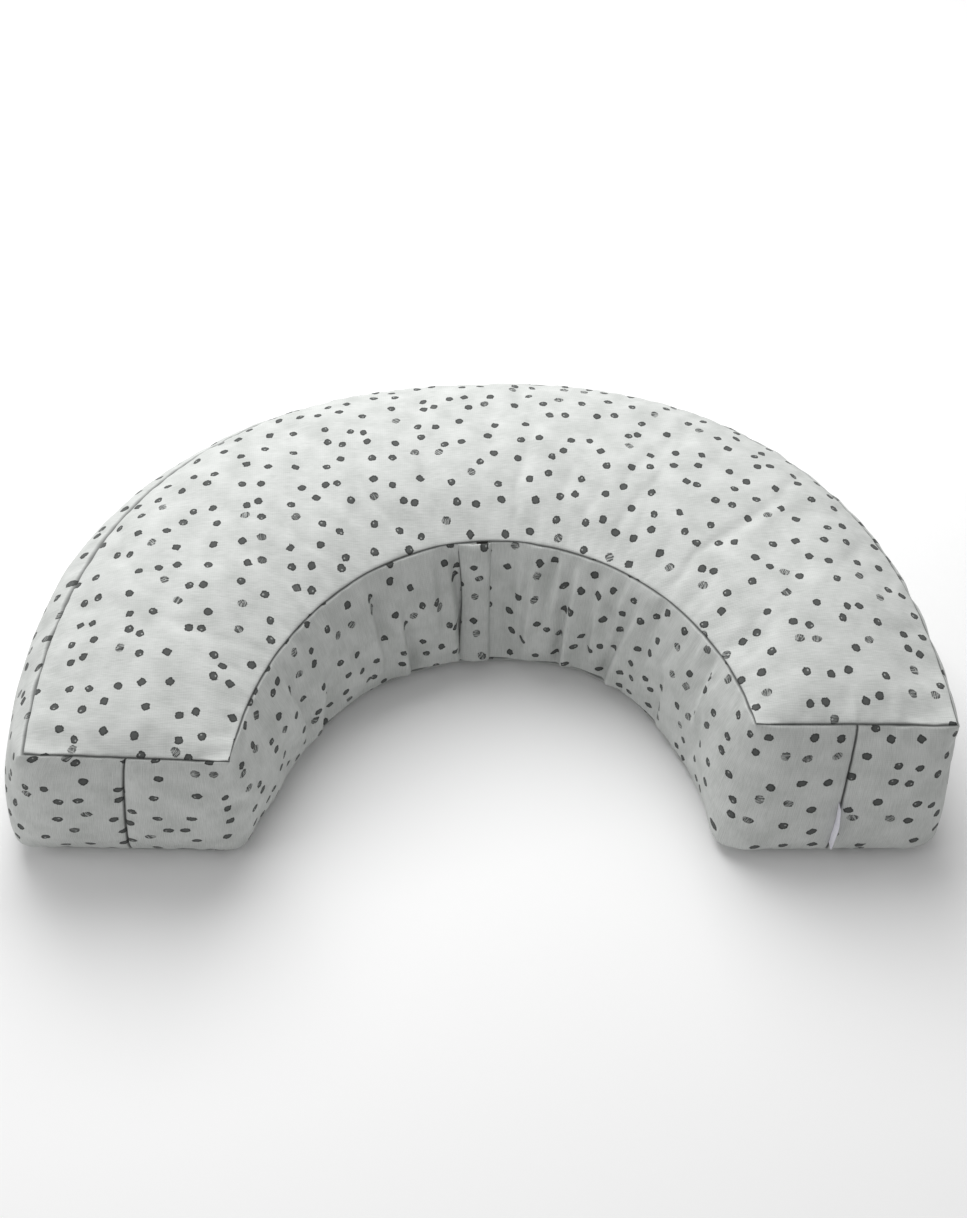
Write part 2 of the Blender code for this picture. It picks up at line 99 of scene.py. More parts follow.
def linear(hex_colour: str) -> tuple[float, float, float, float]:
    """Turns an sRGB hex colour into Blender's linear values.

    Args:
        hex_colour: Six hex digits, such as "d5d6d5".

    Returns:
        Red, green, blue and alpha, linear.
    """
    values = []
    for start in (0, 2, 4):
        value = int(hex_colour[start:start + 2], 16) / 255
        values.append(value / 12.92 if value <= 0.04045 else ((value + 0.055) / 1.055) ** 2.4)
    return values[0], values[1], values[2], 1.0


def add_node(tree: bpy.types.NodeTree, kind: str, settings: dict[str, Any] | None = None,
             inputs: dict[Any, Any] | None = None) -> Node:
    """Adds a shader node with its settings, values and links.

    Args:
        tree: The material's node tree.
        kind: The node's type name after "ShaderNode".
        settings: Properties to set on the node.
        inputs: Values or sockets for its inputs, by input name or index.

    Returns:
        The new node.
    """
    node = tree.nodes.new(f"ShaderNode{kind}")
    for name, value in (settings or {}).items():
        setattr(node, name, value)
    for name, value in (inputs or {}).items():
        if isinstance(value, bpy.types.NodeSocket):
            tree.links.new(value, node.inputs[name])
        else:
            node.inputs[name].default_value = value
    return node


class NodeMath:
    """Short arithmetic on shader sockets."""

    def __init__(self, tree: bpy.types.NodeTree) -> None:
        """Works in one material's node tree."""
        self.tree = tree

    def calc(self, operation: str, *values: Any, clamp: bool = False) -> Socket:
        """Adds one Math node.

        Args:
            operation: Blender's name for the operation.
            *values: Numbers or sockets.
            clamp: Whether the result is kept between 0 and 1.

        Returns:
            The result's socket.
        """
        settings = {"operation": operation, "use_clamp": clamp}
        return add_node(self.tree, "Math", settings, dict(enumerate(values))).outputs[0]

    def vector(self, operation: str, *values: Any) -> Socket:
        """Adds one Vector Math node and returns its result, a vector or a number."""
        inputs: dict[Any, Any] = dict(enumerate(values))
        if operation == "SCALE":
            inputs = {0: values[0], "Scale": values[1]}
        node = add_node(self.tree, "VectorMath", {"operation": operation}, inputs)
        return node.outputs["Value" if operation == "LENGTH" else "Vector"]

    def ramp(self, value: Socket, start: float | Socket, end: float | Socket,
             low: float = 0.0, high: float = 1.0) -> Socket:
        """Maps a value smoothly from one range to another and clamps it."""
        settings = {"interpolation_type": "SMOOTHSTEP"}
        inputs = {"Value": value, "From Min": start, "From Max": end, "To Min": low, "To Max": high}
        return add_node(self.tree, "MapRange", settings, inputs).outputs["Result"]

    def noise(self, place: Socket, scale: float, detail: float = 2.0, roughness: float = 0.5) -> Socket:
        """A noise value between 0 and 1 at a place."""
        inputs = {"Vector": place, "Scale": scale, "Detail": detail, "Roughness": roughness}
        return add_node(self.tree, "TexNoise", {"noise_dimensions": "3D"}, inputs).outputs[0]

    def blend(self, share: Socket | float, first: Any, second: Any) -> Socket:
        """Mixes two colours by a share."""
        node = add_node(self.tree, "Mix", {"data_type": "RGBA"})
        for name, value in (("Factor", share), ("A", first), ("B", second)):
            socket = next(s for s in node.inputs if s.name == name and s.type in ("RGBA", "VALUE")
                          and (name == "Factor") == (s.type == "VALUE"))
            if isinstance(value, bpy.types.NodeSocket):
                self.tree.links.new(value, socket)
            else:
                socket.default_value = value
        return next(s for s in node.outputs if s.type == "RGBA")


def new_material(name: str) -> tuple[bpy.types.Material, bpy.types.NodeTree, Node]:
    """Makes a node material.

    Args:
        name: The material's name.

    Returns:
        The material, its node tree and its Principled BSDF.
    """
    material = bpy.data.materials.new(name)
    material.use_nodes = True
    tree = material.node_tree
    return material, tree, tree.nodes["Principled BSDF"]


def set_shader(shader: Node, **values: float) -> None:
    """Sets constants on a Principled BSDF, with underscores for the spaces in socket names."""
    for name, value in values.items():
        shader.inputs[name.replace("_", " ")].default_value = value


@dataclass(frozen=True)
class DottedJersey:
    """Printed cotton single jersey: a matt, slightly slubby knit that scatters light softly.

    The print is hand-painted dots in pigment ink, so each dot has its own outline, a paler
    middle and, on some, dry-brush streaks.
    """

    ground: str = "d2d4d2"
    shade: str = "b1b4b1"
    ink: str = "1e201f"
    ink_core: str = "474948"
    dot_spacing: float = 23.2  # mm between neighbouring dots
    dot_radius: float = 3.85  # mm
    rib_pitch: float = 1.3  # mm; the real knit's 0.8 mm ribs are drawn coarser so that they show
    slub_length: float = 15.0  # mm
    slub_width: float = 0.9  # mm

    def build(self, name: str, grain: Grain, offset: tuple[float, float]) -> bpy.types.Material:
        """Makes the material for one panel.

        Args:
            name: The material's name.
            grain: Which way the knit ribs run on the panel's flat pattern.
            offset: Where on the printed cloth the panel was cut, in metres.

        Returns:
            The material. It reads the panel's UV map "pattern", in metres.
        """
        material, tree, shader = new_material(name)
        ops = NodeMath(tree)
        flat = add_node(tree, "UVMap", {"uv_map": "pattern"}).outputs[0]
        flat = ops.vector("SCALE", ops.vector("ADD", flat, (*offset, 0.0)), 1 / MM)
        parts = add_node(tree, "SeparateXYZ", inputs={0: flat})
        along, across = parts.outputs[0], parts.outputs[1]
        if grain is Grain.ALONG_V:
            along, across = across, along
        slub = self._slubs(tree, ops, along, across)
        ribs = self._ribs(ops, along, across)
        mottle = ops.noise(flat, 1 / 24.0, 4.0)
        tone = ops.calc("MULTIPLY_ADD", slub, 0.55, ops.calc("MULTIPLY", mottle, 0.45))
        tone = ops.calc("MULTIPLY_ADD", ribs, 0.10, ops.calc("MULTIPLY", tone, 0.9))
        cloth = ops.blend(ops.ramp(tone, 0.30, 0.72), linear(self.ground), linear(self.shade))
        ink, core = self._dots(tree, ops, flat)
        ink_colour = ops.blend(core, linear(self.ink), linear(self.ink_core))
        printed = ops.blend(ink, cloth, ink_colour)
        # Painted seam shade: the colour darkens towards charcoal 3c3e3d within 1.7 mm of a seam, read from
        # the "seam" attribute, in place of the shadow in the seam's groove.
        seam = add_node(tree, "Attribute", {"attribute_name": "seam"}).outputs["Fac"]
        painted_seam_shade = ops.ramp(seam, 0.3 * MM, 1.7 * MM, 0.75, 0.0)
        tree.links.new(ops.blend(painted_seam_shade, printed, linear("3c3e3d")), shader.inputs["Base Color"])
        pucker = ops.noise(flat, 1 / 9.0, 2.0)
        relief = ops.calc("MULTIPLY_ADD", ribs, 0.10, ops.calc("MULTIPLY", slub, 0.16))
        relief = ops.calc("MULTIPLY_ADD", pucker, 0.35, relief)
        bump = add_node(tree, "Bump", inputs={"Strength": 0.5, "Distance": 1.2 * MM, "Height": relief})
        tree.links.new(bump.outputs[0], shader.inputs["Normal"])
        set_shader(shader, Roughness=0.92, IOR=1.46, Sheen_Weight=0.07, Sheen_Roughness=0.55)
        shader.inputs["Specular IOR Level"].default_value = 0.18
        return material

    def _slubs(self, tree: bpy.types.NodeTree, ops: NodeMath, along: Socket, across: Socket) -> Socket:
        """Long thin thick-and-thin places in the yarn, as a value around 0.5."""
        stretched = add_node(tree, "CombineXYZ", inputs={
            0: ops.calc("DIVIDE", along, self.slub_length), 1: ops.calc("DIVIDE", across, self.slub_width)})
        fine = add_node(tree, "CombineXYZ", inputs={
            0: ops.calc("DIVIDE", along, self.slub_length / 3),
            1: ops.calc("DIVIDE", across, self.slub_width / 2)})
        long_slubs = ops.noise(stretched.outputs[0], 1.0, 2.0)
        short_slubs = ops.calc("MULTIPLY", ops.noise(fine.outputs[0], 1.0), 0.4)
        return ops.calc("MULTIPLY_ADD", long_slubs, 0.6, short_slubs)

    def _ribs(self, ops: NodeMath, along: Socket, across: Socket) -> Socket:
        """The knit's ribs, each broken into loops, from 0 to 1."""
        turn = 2 * math.pi / self.rib_pitch
        rows = ops.calc("SINE", ops.calc("MULTIPLY", across, turn))
        loops = ops.calc("SINE", ops.calc("MULTIPLY", along, turn * 0.7))
        both = ops.calc("MULTIPLY_ADD", loops, 0.35, ops.calc("MULTIPLY", rows, 0.65))
        return ops.calc("MULTIPLY_ADD", both, 0.5, 0.5)

    @staticmethod
    def _length(ops: NodeMath, x: Socket, y: Socket) -> Socket:
        """The length of a flat vector."""
        squares = ops.calc("MULTIPLY", x, x), ops.calc("MULTIPLY", y, y)
        return ops.calc("SQRT", ops.calc("ADD", *squares))

    def _dots(self, tree: bpy.types.NodeTree, ops: NodeMath, flat: Socket) -> tuple[Socket, Socket]:
        """The printed dots.

        Args:
            tree: The material's node tree.
            ops: Its arithmetic.
            flat: The place on the flat cloth, in millimetres.

        Returns:
            How much ink there is, and how pale it is there, each from 0 to 1.
        """
        ragged = {"Vector": flat, "Scale": 0.22, "Detail": 1.0}
        wobble = add_node(tree, "TexNoise", inputs=ragged).outputs["Color"]
        wobble = ops.vector("SCALE", ops.vector("SUBTRACT", wobble, (0.5, 0.5, 0.5)), 2.2)
        cells = ops.vector("SCALE", ops.vector("ADD", flat, wobble), 1 / self.dot_spacing)
        settings = {"voronoi_dimensions": "2D", "feature": "F1"}
        spots = add_node(tree, "TexVoronoi", settings, {"Vector": cells, "Scale": 1.0, "Randomness": 0.74})
        chance = add_node(tree, "SeparateColor", inputs={0: spots.outputs["Color"]})
        first, second, third = chance.outputs[0], chance.outputs[1], chance.outputs[2]
        local = ops.vector("SUBTRACT", cells, spots.outputs["Position"])
        turned = add_node(tree, "VectorRotate", {"rotation_type": "Z_AXIS"}, {
            "Vector": local, "Angle": ops.calc("MULTIPLY", first, 2 * math.pi)}).outputs[0]
        local = ops.vector("MULTIPLY", turned, (self.dot_spacing, self.dot_spacing, 0.0))
        place = add_node(tree, "SeparateXYZ", inputs={0: local})
        wide = ops.calc("MULTIPLY", place.outputs[0], ops.calc("MULTIPLY_ADD", second, 0.35, 0.84))
        tall = place.outputs[1]
        round_reach = self._length(ops, wide, tall)
        square_reach = ops.calc("MAXIMUM", ops.calc("ABSOLUTE", wide), ops.calc("ABSOLUTE", tall))
        squarish = ops.ramp(third, 0.70, 0.88, 0.0, 0.5)
        gap = ops.calc("SUBTRACT", ops.calc("MULTIPLY", square_reach, 1.12), round_reach)
        reach = ops.calc("MULTIPLY_ADD", gap, squarish, round_reach)
        rough_edge = ops.calc("SUBTRACT", ops.noise(flat, 0.75, 1.0), 0.5)
        reach = ops.calc("MULTIPLY_ADD", rough_edge, 1.5, reach)
        radius = ops.calc("MULTIPLY", ops.calc("MULTIPLY_ADD", second, 0.30, 0.82), self.dot_radius)
        share = ops.calc("DIVIDE", reach, radius)
        ink = ops.ramp(share, 1.06, 0.93)
        brushed = add_node(tree, "CombineXYZ", inputs={
            0: ops.calc("MULTIPLY", wide, 0.12), 1: ops.calc("MULTIPLY", tall, 1.1),
            2: ops.calc("MULTIPLY", first, 40.0)})
        streaks = ops.ramp(ops.noise(brushed.outputs[0], 1.0, 2.0), 0.47, 0.56)
        dry = ops.calc("MULTIPLY", streaks, ops.ramp(second, 0.80, 0.88, 0.0, 0.55))
        ink = ops.calc("MULTIPLY", ink, ops.calc("SUBTRACT", 0.94, dry))
        speck_x = ops.calc("SUBTRACT", wide, ops.calc("MULTIPLY", radius, 0.42))
        speck = self._length(ops, speck_x, tall)
        speck = ops.calc("MULTIPLY", ops.ramp(speck, 1.0, 0.5), ops.ramp(third, 0.42, 0.36))
        ink = ops.calc("MULTIPLY", ink, ops.calc("MULTIPLY_ADD", speck, -0.55, 1.0))
        return ink, ops.ramp(share, 0.95, 0.45)


@dataclass(frozen=True)
class WovenCloth:
    """Plain-weave cloth or tape: a flat, matt grid of threads."""

    name: str
    warp: str
    weft: str
    thread_pitch: float  # mm
    roughness: float = 0.9
    sheen: float = 0.1

    def build(self) -> bpy.types.Material:
        """Makes the material, whose threads follow the piece's own coordinates."""
        material, tree, shader = new_material(self.name)
        ops = NodeMath(tree)
        place = add_node(tree, "TexCoord").outputs["Object"]
        place = ops.vector("SCALE", place, 1 / MM)
        parts = add_node(tree, "SeparateXYZ", inputs={0: place})
        turn = 2 * math.pi / self.thread_pitch
        level = ops.calc("ADD", parts.outputs[0], parts.outputs[1])
        sides = ops.calc("SINE", ops.calc("MULTIPLY", level, turn))
        rows = ops.calc("SINE", ops.calc("MULTIPLY", parts.outputs[2], turn))
        weave = ops.calc("MULTIPLY_ADD", ops.calc("MULTIPLY", sides, rows), 0.5, 0.5)
        fuzz = ops.noise(place, 1.6 / self.thread_pitch, 3.0)
        tone = ops.calc("MULTIPLY_ADD", weave, 0.5, ops.calc("MULTIPLY", fuzz, 0.5))
        tree.links.new(ops.blend(tone, linear(self.warp), linear(self.weft)), shader.inputs["Base Color"])
        bump = add_node(tree, "Bump", inputs={"Strength": 0.5, "Distance": 0.2 * MM, "Height": tone})
        tree.links.new(bump.outputs[0], shader.inputs["Normal"])
        set_shader(shader, Roughness=self.roughness, Sheen_Weight=self.sheen, IOR=1.46)
        return material


@dataclass(frozen=True)
class SatinRibbon:
    """Polyester satin ribbon: a smooth weave with a soft stretched highlight across its threads."""

    face: str = "eeedf4"
    thread: str = "dcdae8"
    thread_pitch: float = 0.5  # mm; drawn coarser than the real 0.15 mm

    def build(self) -> bpy.types.Material:
        """Makes the material."""
        material, tree, shader = new_material("polyester_satin")
        ops = NodeMath(tree)
        place = ops.vector("SCALE", add_node(tree, "TexCoord").outputs["Object"], 1 / MM)
        parts = add_node(tree, "SeparateXYZ", inputs={0: place})
        rows = ops.calc("SINE", ops.calc("MULTIPLY", parts.outputs[2], 2 * math.pi / self.thread_pitch))
        fuzz = ops.noise(place, 0.4, 2.0)
        tone = ops.calc("MULTIPLY_ADD", rows, 0.2, fuzz)
        tree.links.new(ops.blend(ops.ramp(tone, 0.3, 0.8), linear(self.face), linear(self.thread)),
                       shader.inputs["Base Color"])
        bump = add_node(tree, "Bump", inputs={"Strength": 0.15, "Distance": 0.1 * MM, "Height": tone})
        tree.links.new(bump.outputs[0], shader.inputs["Normal"])
        set_shader(shader, Roughness=0.38, IOR=1.5, Sheen_Weight=0.25, Anisotropic=0.5)
        return material


@dataclass(frozen=True)
class SmoothSolid:
    """A moulded or cast solid, with the fine unevenness that its making leaves."""

    name: str
    colour: str
    worn: str
    roughness: float
    metallic: float = 0.0
    grit: float = 0.6  # mm between its small marks

    def build(self) -> bpy.types.Material:
        """Makes the material."""
        material, tree, shader = new_material(self.name)
        ops = NodeMath(tree)
        place = ops.vector("SCALE", add_node(tree, "TexCoord").outputs["Object"], 1 / MM)
        marks = ops.noise(place, 1 / self.grit, 3.0)
        tree.links.new(ops.blend(marks, linear(self.colour), linear(self.worn)), shader.inputs["Base Color"])
        rough = ops.ramp(marks, 0.2, 0.8, self.roughness - 0.08, self.roughness + 0.08)
        tree.links.new(rough, shader.inputs["Roughness"])
        bump = add_node(tree, "Bump", inputs={"Strength": 0.12, "Distance": 0.1 * MM, "Height": marks})
        tree.links.new(bump.outputs[0], shader.inputs["Normal"])
        set_shader(shader, Metallic=self.metallic)
        return material


class Finishes:
    """Every finish of the pillow, made once and shared."""

    def __init__(self) -> None:
        """Makes the shared materials; the printed jersey is made per panel."""
        self.jersey = DottedJersey()
        self.lining = WovenCloth("cotton_lining", "e2e1dc", "d3d2cc", 0.9).build()
        self.tape = WovenCloth("zip_tape_twill", "a9acab", "989b9a", 0.7).build()
        self.fibre = WovenCloth("polyester_fibre", "f2f2ee", "e2e2dc", 3.0, 1.0, 0.4).build()
        self.satin = SatinRibbon().build()
        self.nylon = SmoothSolid("nylon_coil", "9fa2a2", "8e9191", 0.42).build()
        self.zinc = SmoothSolid("zinc_alloy", "b9bbbd", "9b9d9f", 0.34, 1.0).build()
        self.thread = SmoothSolid("sewing_thread", "bfc2c0", "a6a9a7", 0.8, grit=0.4).build()


# ---------------------------------------------------------------- the cushion's form


@dataclass
class PillowPlan:
    """The C's plan at its seams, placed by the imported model."""

    outer_fullness: float = 2.25  # exponent of the outer curve, where 2 is an ellipse
    inner_half_width: float = 0.210
    inner_setback: float = 0.062  # the inner curve's centre, in front of the widest line
    leg_reach: float = 0.040  # from the widest line to the legs' ends
    cover_fabric: float = 1.2 * MM
    half_length: float = 0.42  # along the middle of the band, from the back to a leg's end
    band_width: float = 0.178
    outer_half_width: float = field(init=False)
    widest_y: float = field(init=False)
    outer_depth: float = field(init=False)
    inner_depth: float = field(init=False)
    bottom_seam: float = field(init=False)
    top_seam: float = field(init=False)
    top: float = field(init=False)

    def __post_init__(self) -> None:
        """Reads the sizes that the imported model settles."""
        low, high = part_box("top_panel")
        wall_low, wall_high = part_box("inner_boxing_left")
        seam_gap = self.cover_fabric + 0.3 * MM
        self.outer_half_width = high[0]
        self.widest_y = low[1] + self.leg_reach
        self.outer_depth = high[1] - self.widest_y
        self.inner_depth = wall_high[1] - self.cover_fabric + self.inner_setback - self.widest_y
        self.bottom_seam = wall_low[2] - seam_gap
        self.top_seam = wall_high[2] + seam_gap
        self.top = high[2]

    @property
    def apex_y(self) -> float:
        """Where the inner wall's face crosses the middle of the C."""
        return self.widest_y - self.inner_setback + self.inner_depth

    def inner_end(self) -> float:
        """The inner curve's angle from the back to a leg's end."""
        return math.pi / 2 - math.asin((self.inner_setback - self.leg_reach) / self.inner_depth)

    def outer(self, fraction: Array) -> Array:
        """Points of the outer seam.

        Args:
            fraction: Places along the C, from the right leg's end (-1) to the left's (1).

        Returns:
            One x, y row for each place.
        """
        drop = (self.leg_reach / self.outer_depth) ** (self.outer_fullness / 2)
        angle = math.pi / 2 + fraction * (math.pi / 2 + math.asin(drop))
        power = 2 / self.outer_fullness
        x = np.sign(np.cos(angle)) * np.abs(np.cos(angle)) ** power * self.outer_half_width
        y = np.sign(np.sin(angle)) * np.abs(np.sin(angle)) ** power * self.outer_depth
        return np.stack([x, y + self.widest_y], axis=-1)

    def inner(self, fraction: Array) -> Array:
        """Points of the inner seam, at the same places."""
        angle = fraction * self.inner_end()
        x = -np.sin(angle) * self.inner_half_width
        y = np.cos(angle) * self.inner_depth - self.inner_setback + self.widest_y
        return np.stack([x, y], axis=-1)


@dataclass(frozen=True)
class Fold:
    """One listed fold in the inner wall's cloth."""

    angle: float  # degrees round the inner wall from its middle, to the right
    lean: float  # degrees that it moves sideways from the top seam to the bottom
    depth: float  # mm
    width: float  # mm
    low: float  # shares of the wall's height between which it runs
    high: float


@dataclass(frozen=True)
class WallShape:
    """How a side wall stands out from its seams, in metres."""

    swell: float  # at its fullest
    foot: float  # at the bottom, where the cushion's weight spreads it
    place: float = 0.0  # along the C, from -1 at the right leg's end to 1 at the left's


@dataclass
class CushionForm:
    """The padded form under every panel: a grid wrapped round a bent block."""

    plan: PillowPlan
    cell: float = 4.6 * MM
    seam_lines: tuple[float, ...] = (1.3 * MM, 3.4 * MM)  # extra grid lines beside each seam
    placket_lines: tuple[float, ...] = (5.0 * MM, 9.0 * MM, 13.0 * MM, 18.0 * MM)
    outer_wall: tuple[WallShape, ...] = (
        WallShape(8 * MM, 6 * MM, -1.0), WallShape(18 * MM, 5 * MM, -0.7), WallShape(19 * MM, 4 * MM, -0.45),
        WallShape(14 * MM, 4 * MM, -0.15), WallShape(14 * MM, 4 * MM, 0.15), WallShape(31 * MM, 9 * MM, 0.45),
        WallShape(37 * MM, 11 * MM, 0.7), WallShape(17 * MM, 24 * MM, 1.0),
    )
    inner_wall: tuple[WallShape, ...] = (
        WallShape(6 * MM, 20 * MM, -1.0), WallShape(8 * MM, 20 * MM, -0.75), WallShape(8 * MM, 13 * MM, -0.5),
        WallShape(8 * MM, 13 * MM, -0.33), WallShape(8 * MM, 20 * MM, -0.18),
        WallShape(8 * MM, 21 * MM, 0.18),
        WallShape(8 * MM, 16 * MM, 0.4), WallShape(8 * MM, 12 * MM, 0.85), WallShape(6 * MM, -4 * MM, 1.0),
    )
    left_end: WallShape = WallShape(6 * MM, 2 * MM)
    right_end: WallShape = WallShape(8 * MM, 30 * MM)
    placket_foot: float = 21 * MM  # of the wall below the zip
    corner_radius: float = 15 * MM
    corner_profile: tuple[tuple[float, ...], ...] = (  # shares of the wall's height, and of the radius there
        (0, 0.12, 0.5, 0.8, 0.93, 1), (0.45, 0.85, 1, 0.8, 0.4, 0))
    corner_reach: float = 40 * MM  # along the boxing, over which the rounding fades out
    rim_reach: float = 22 * MM  # of the bottom panel that moves with its rim
    end_press: float = 0.045  # along a leg, over which its end wall swells
    leg_shift: dict[int, tuple[float, float, float]] = field(default_factory=lambda: {
        -1: (-17.4 * MM, -0.8 * MM, 9.6 * MM), 1: (5.7 * MM, -5.7 * MM, 0.0)})
    leg_lift: dict[int, float] = field(default_factory=lambda: {-1: -9.9 * MM, 1: 0.3 * MM})
    lift: float = 2.2 * MM  # of the top seam, where the stuffing is fullest
    seam_dip: float = 2.2 * MM
    pucker: float = 0.9 * MM
    frames: int = 20
    travel: float = 8 * MM  # the most that the cloth may move from its cut shape
    fold_gain: float = 1.45
    fold_edge: float = 0.3  # of a fold's width, over which its lapped edge drops
    folds: tuple[Fold, ...] = (
        Fold(-25, 4, 8, 6, 0.0, 0.75), Fold(-31, 2, 4, 6, 0.1, 0.9), Fold(-8.2, 2, 8, 4.5, 0.0, 0.95),
        Fold(-13, 1, 3, 6, 0.3, 1.0), Fold(-47, -4, 5, 10, 0.0, 0.6), Fold(-60, 3, 4, 10, 0.1, 0.8),
        Fold(9, 1, 3, 6, 0.2, 0.9), Fold(13.6, -2.5, 5, 4.5, 0.05, 0.9), Fold(19.5, -2, 6, 4, 0.45, 1.0),
        Fold(24.4, -2, 9, 4.5, 0.0, 0.97), Fold(31, -1, 4, 5, 0.1, 1.0), Fold(43.4, -8, 8, 6, 0.0, 0.85),
        Fold(37, -3, 3, 5, 0.35, 1.0), Fold(58, -4, 4, 10, 0.0, 0.6), Fold(66, 4, 5, 8, 0.45, 1.0),
    )
    along: Array = field(init=False)
    across: Array = field(init=False)
    up: Array = field(init=False)
    points: Array = field(init=False)
    normals: Array = field(init=False)

    def __post_init__(self) -> None:
        """Lays out the grid and the cut shape."""
        self.along = self._lines_along()
        self.across = self._lines_between(self.plan.band_width, middle=True)
        self.up = self._lines_between(self.plan.top_seam - self.plan.bottom_seam)
        self.points = self._cut_shape()
        self.normals = np.zeros_like(self.points)

    def _lines_along(self) -> Array:
        """Grid lines along the C, closer at the placket and at the legs' ends."""
        end = self.plan.inner_end()
        half = self.plan.half_length
        near = [0.0] + [math.asin(x / self.plan.inner_half_width) / end for x in self.placket_lines]
        edge = [1 - d / half for d in reversed((0.0, *self.seam_lines))]
        count = max(round((edge[0] - near[-1]) * half / self.cell), 4)
        middle = np.linspace(near[-1], edge[0], count + 1)[1:-1]
        lines = np.array(near + list(middle) + edge)
        return np.concatenate([-lines[:0:-1], lines])

    def _lines_between(self, length: float, middle: bool = False) -> Array:
        """Grid lines between two seams a length apart, as shares of it.

        Args:
            length: The distance between the seams.
            middle: Whether a third seam runs half way.

        Returns:
            Rising shares from 0 to 1.
        """
        near = [d / length for d in (0.0, *self.seam_lines)]
        stops = [near[-1], 1 - near[-1]]
        if middle:
            stops[1:1] = [0.5 - near[-1], 0.5 + near[-1]]
        lines = list(near[:-1])
        for start, end in zip(stops[::2], stops[1::2]):
            count = max(round((end - start) * length / self.cell), 2)
            lines += list(np.linspace(start, end, count + 1))
        if middle:
            lines += [0.5 - d for d in near[:-1]] + [0.5 + d for d in near[1:-1]]
        lines += [1 - d for d in near[:-1]]
        return np.unique(np.round(lines, 9))

    @property
    def shape(self) -> tuple[int, int, int]:
        """Grid points along, across and up."""
        return len(self.along), len(self.across), len(self.up)

    def _standoff(self, swell: Array | float, foot: Array | float, fullness: float = 1.0) -> Array:
        """How far a wall stands out from its seam's plan.

        Args:
            swell: The wall's swell at each place along it.
            foot: Its foot there.
            fullness: How soon it swells beside its seams: 1 slowly, 0.5 as round as an ellipse.

        Returns:
            A distance for each place and each grid height, which runs along the last axis.
        """
        w = self.up
        full = (4 * w ** 0.75 * (1 - w ** 0.75)) ** fullness
        return np.multiply.outer(swell, full) + np.multiply.outer(foot, (1 - w) ** 1.3)

    def _wall_shapes(self, shapes: tuple[WallShape, ...]) -> tuple[Array, Array]:
        """The swell and the foot at each grid line along the C, between the given places."""
        places = [shape.place for shape in shapes]
        swell = np.interp(self.along, places, [shape.swell for shape in shapes])
        foot = np.interp(self.along, places, [shape.foot for shape in shapes])
        kernel = np.hanning(11)[1:-1] / np.hanning(11).sum()
        padded = [np.pad(values, 4, mode="edge") for values in (swell, foot)]
        ease = [np.convolve(values, kernel, mode="valid") for values in padded]
        return ease[0], ease[1]

    def _cut_shape(self) -> Array:
        """The form before the cloth settles: crowned on top, flat below, swollen at its sides."""
        plan = self.plan
        outer, inner = plan.outer(self.along), plan.inner(self.along)
        out = self._standoff(*self._wall_shapes(self.outer_wall), fullness=0.55)
        calm = self._away_from_placket(inner[:, 0])
        swell, foot = self._wall_shapes(self.inner_wall)
        into = self._standoff(swell * calm, foot * calm)
        into += np.multiply.outer((1 - calm) * self.placket_foot, (1 - self.up) ** 3.5)
        outer_dir = self._turned(np.gradient(outer, self.along, axis=0), -1)
        inner_dir = self._turned(np.gradient(inner, self.along, axis=0), 1)
        outer_rows = outer[:, None] + outer_dir[:, None] * out[..., None]
        inner_rows = inner[:, None] + inner_dir[:, None] * into[..., None]
        u, w = self.across[None, :, None], self.up[None, None, :]
        flat = outer_rows[:, None] * (1 - u[..., None]) + inner_rows[:, None] * u[..., None]
        from_end = (1 - np.abs(self.along)) * plan.half_length
        near_end = np.clip(1 - from_end / self.end_press, 0, 1) ** 2
        across = 1 - np.abs(2 * self.across - 1) ** 10 * 0.35
        for wall, side in ((self.right_end, -1), (self.left_end, 1)):
            push = (near_end * (self.along * side > 0))[:, None, None] * across[None, :, None]
            flat[..., 1] -= push * self._standoff(wall.swell, wall.foot)
        self._uneven_legs(flat, u)
        height = np.broadcast_to(plan.bottom_seam + (plan.top_seam - plan.bottom_seam) * w, self.shape).copy()
        height[:, :, -1] += (plan.top - plan.top_seam) * self._crown(0.95, 0.10)
        height[:, :, 0] -= plan.bottom_seam * self._crown(0.25, 0.03)
        height *= 1 + self._lifted(flat) / plan.top_seam * w
        points = np.concatenate([flat, height[..., None]], axis=-1)
        self._round_corners(points)
        return points

    def _crown(self, power: float, run: float) -> Array:
        """How far a panel has risen, from 0 at its seams to 1, on the grid along by across."""
        u = self.across[None, :]
        from_end = (1 - np.abs(self.along[:, None])) * self.plan.half_length
        rise_across = np.clip(1 - np.abs(2 * u - 1) ** 2.4, 0, 1) ** power
        rise_along = np.clip(1 - (1 - np.clip(from_end / run, 0, 1)) ** 2.2, 0, 1) ** power
        return rise_across * rise_along

    def _reach(self, flat: Array) -> Array:
        """How far towards the legs' ends each point lies, from 0 to 1."""
        return np.clip(-flat[..., 1] / (self.plan.leg_reach - self.plan.widest_y), 0, 1)

    def _lifted(self, flat: Array) -> Array:
        """How much higher or lower than the pattern the top is at each point."""
        reach = self._reach(flat)
        side = np.where(flat[..., 0] < 0, self.leg_lift[-1], self.leg_lift[1])
        return self.lift + reach * side

    def _uneven_legs(self, flat: Array, u: Array) -> None:
        """Lets the stuffed legs end a little unevenly, as hand-filled ones do."""
        reach = self._reach(flat) ** 1.5
        for side, (outer_on, inner_on, outwards) in self.leg_shift.items():
            there = reach * (flat[..., 0] * side > 0)
            flat[..., 1] -= there * (outer_on * (1 - u) + inner_on * u)
            flat[..., 0] += there * side * outwards

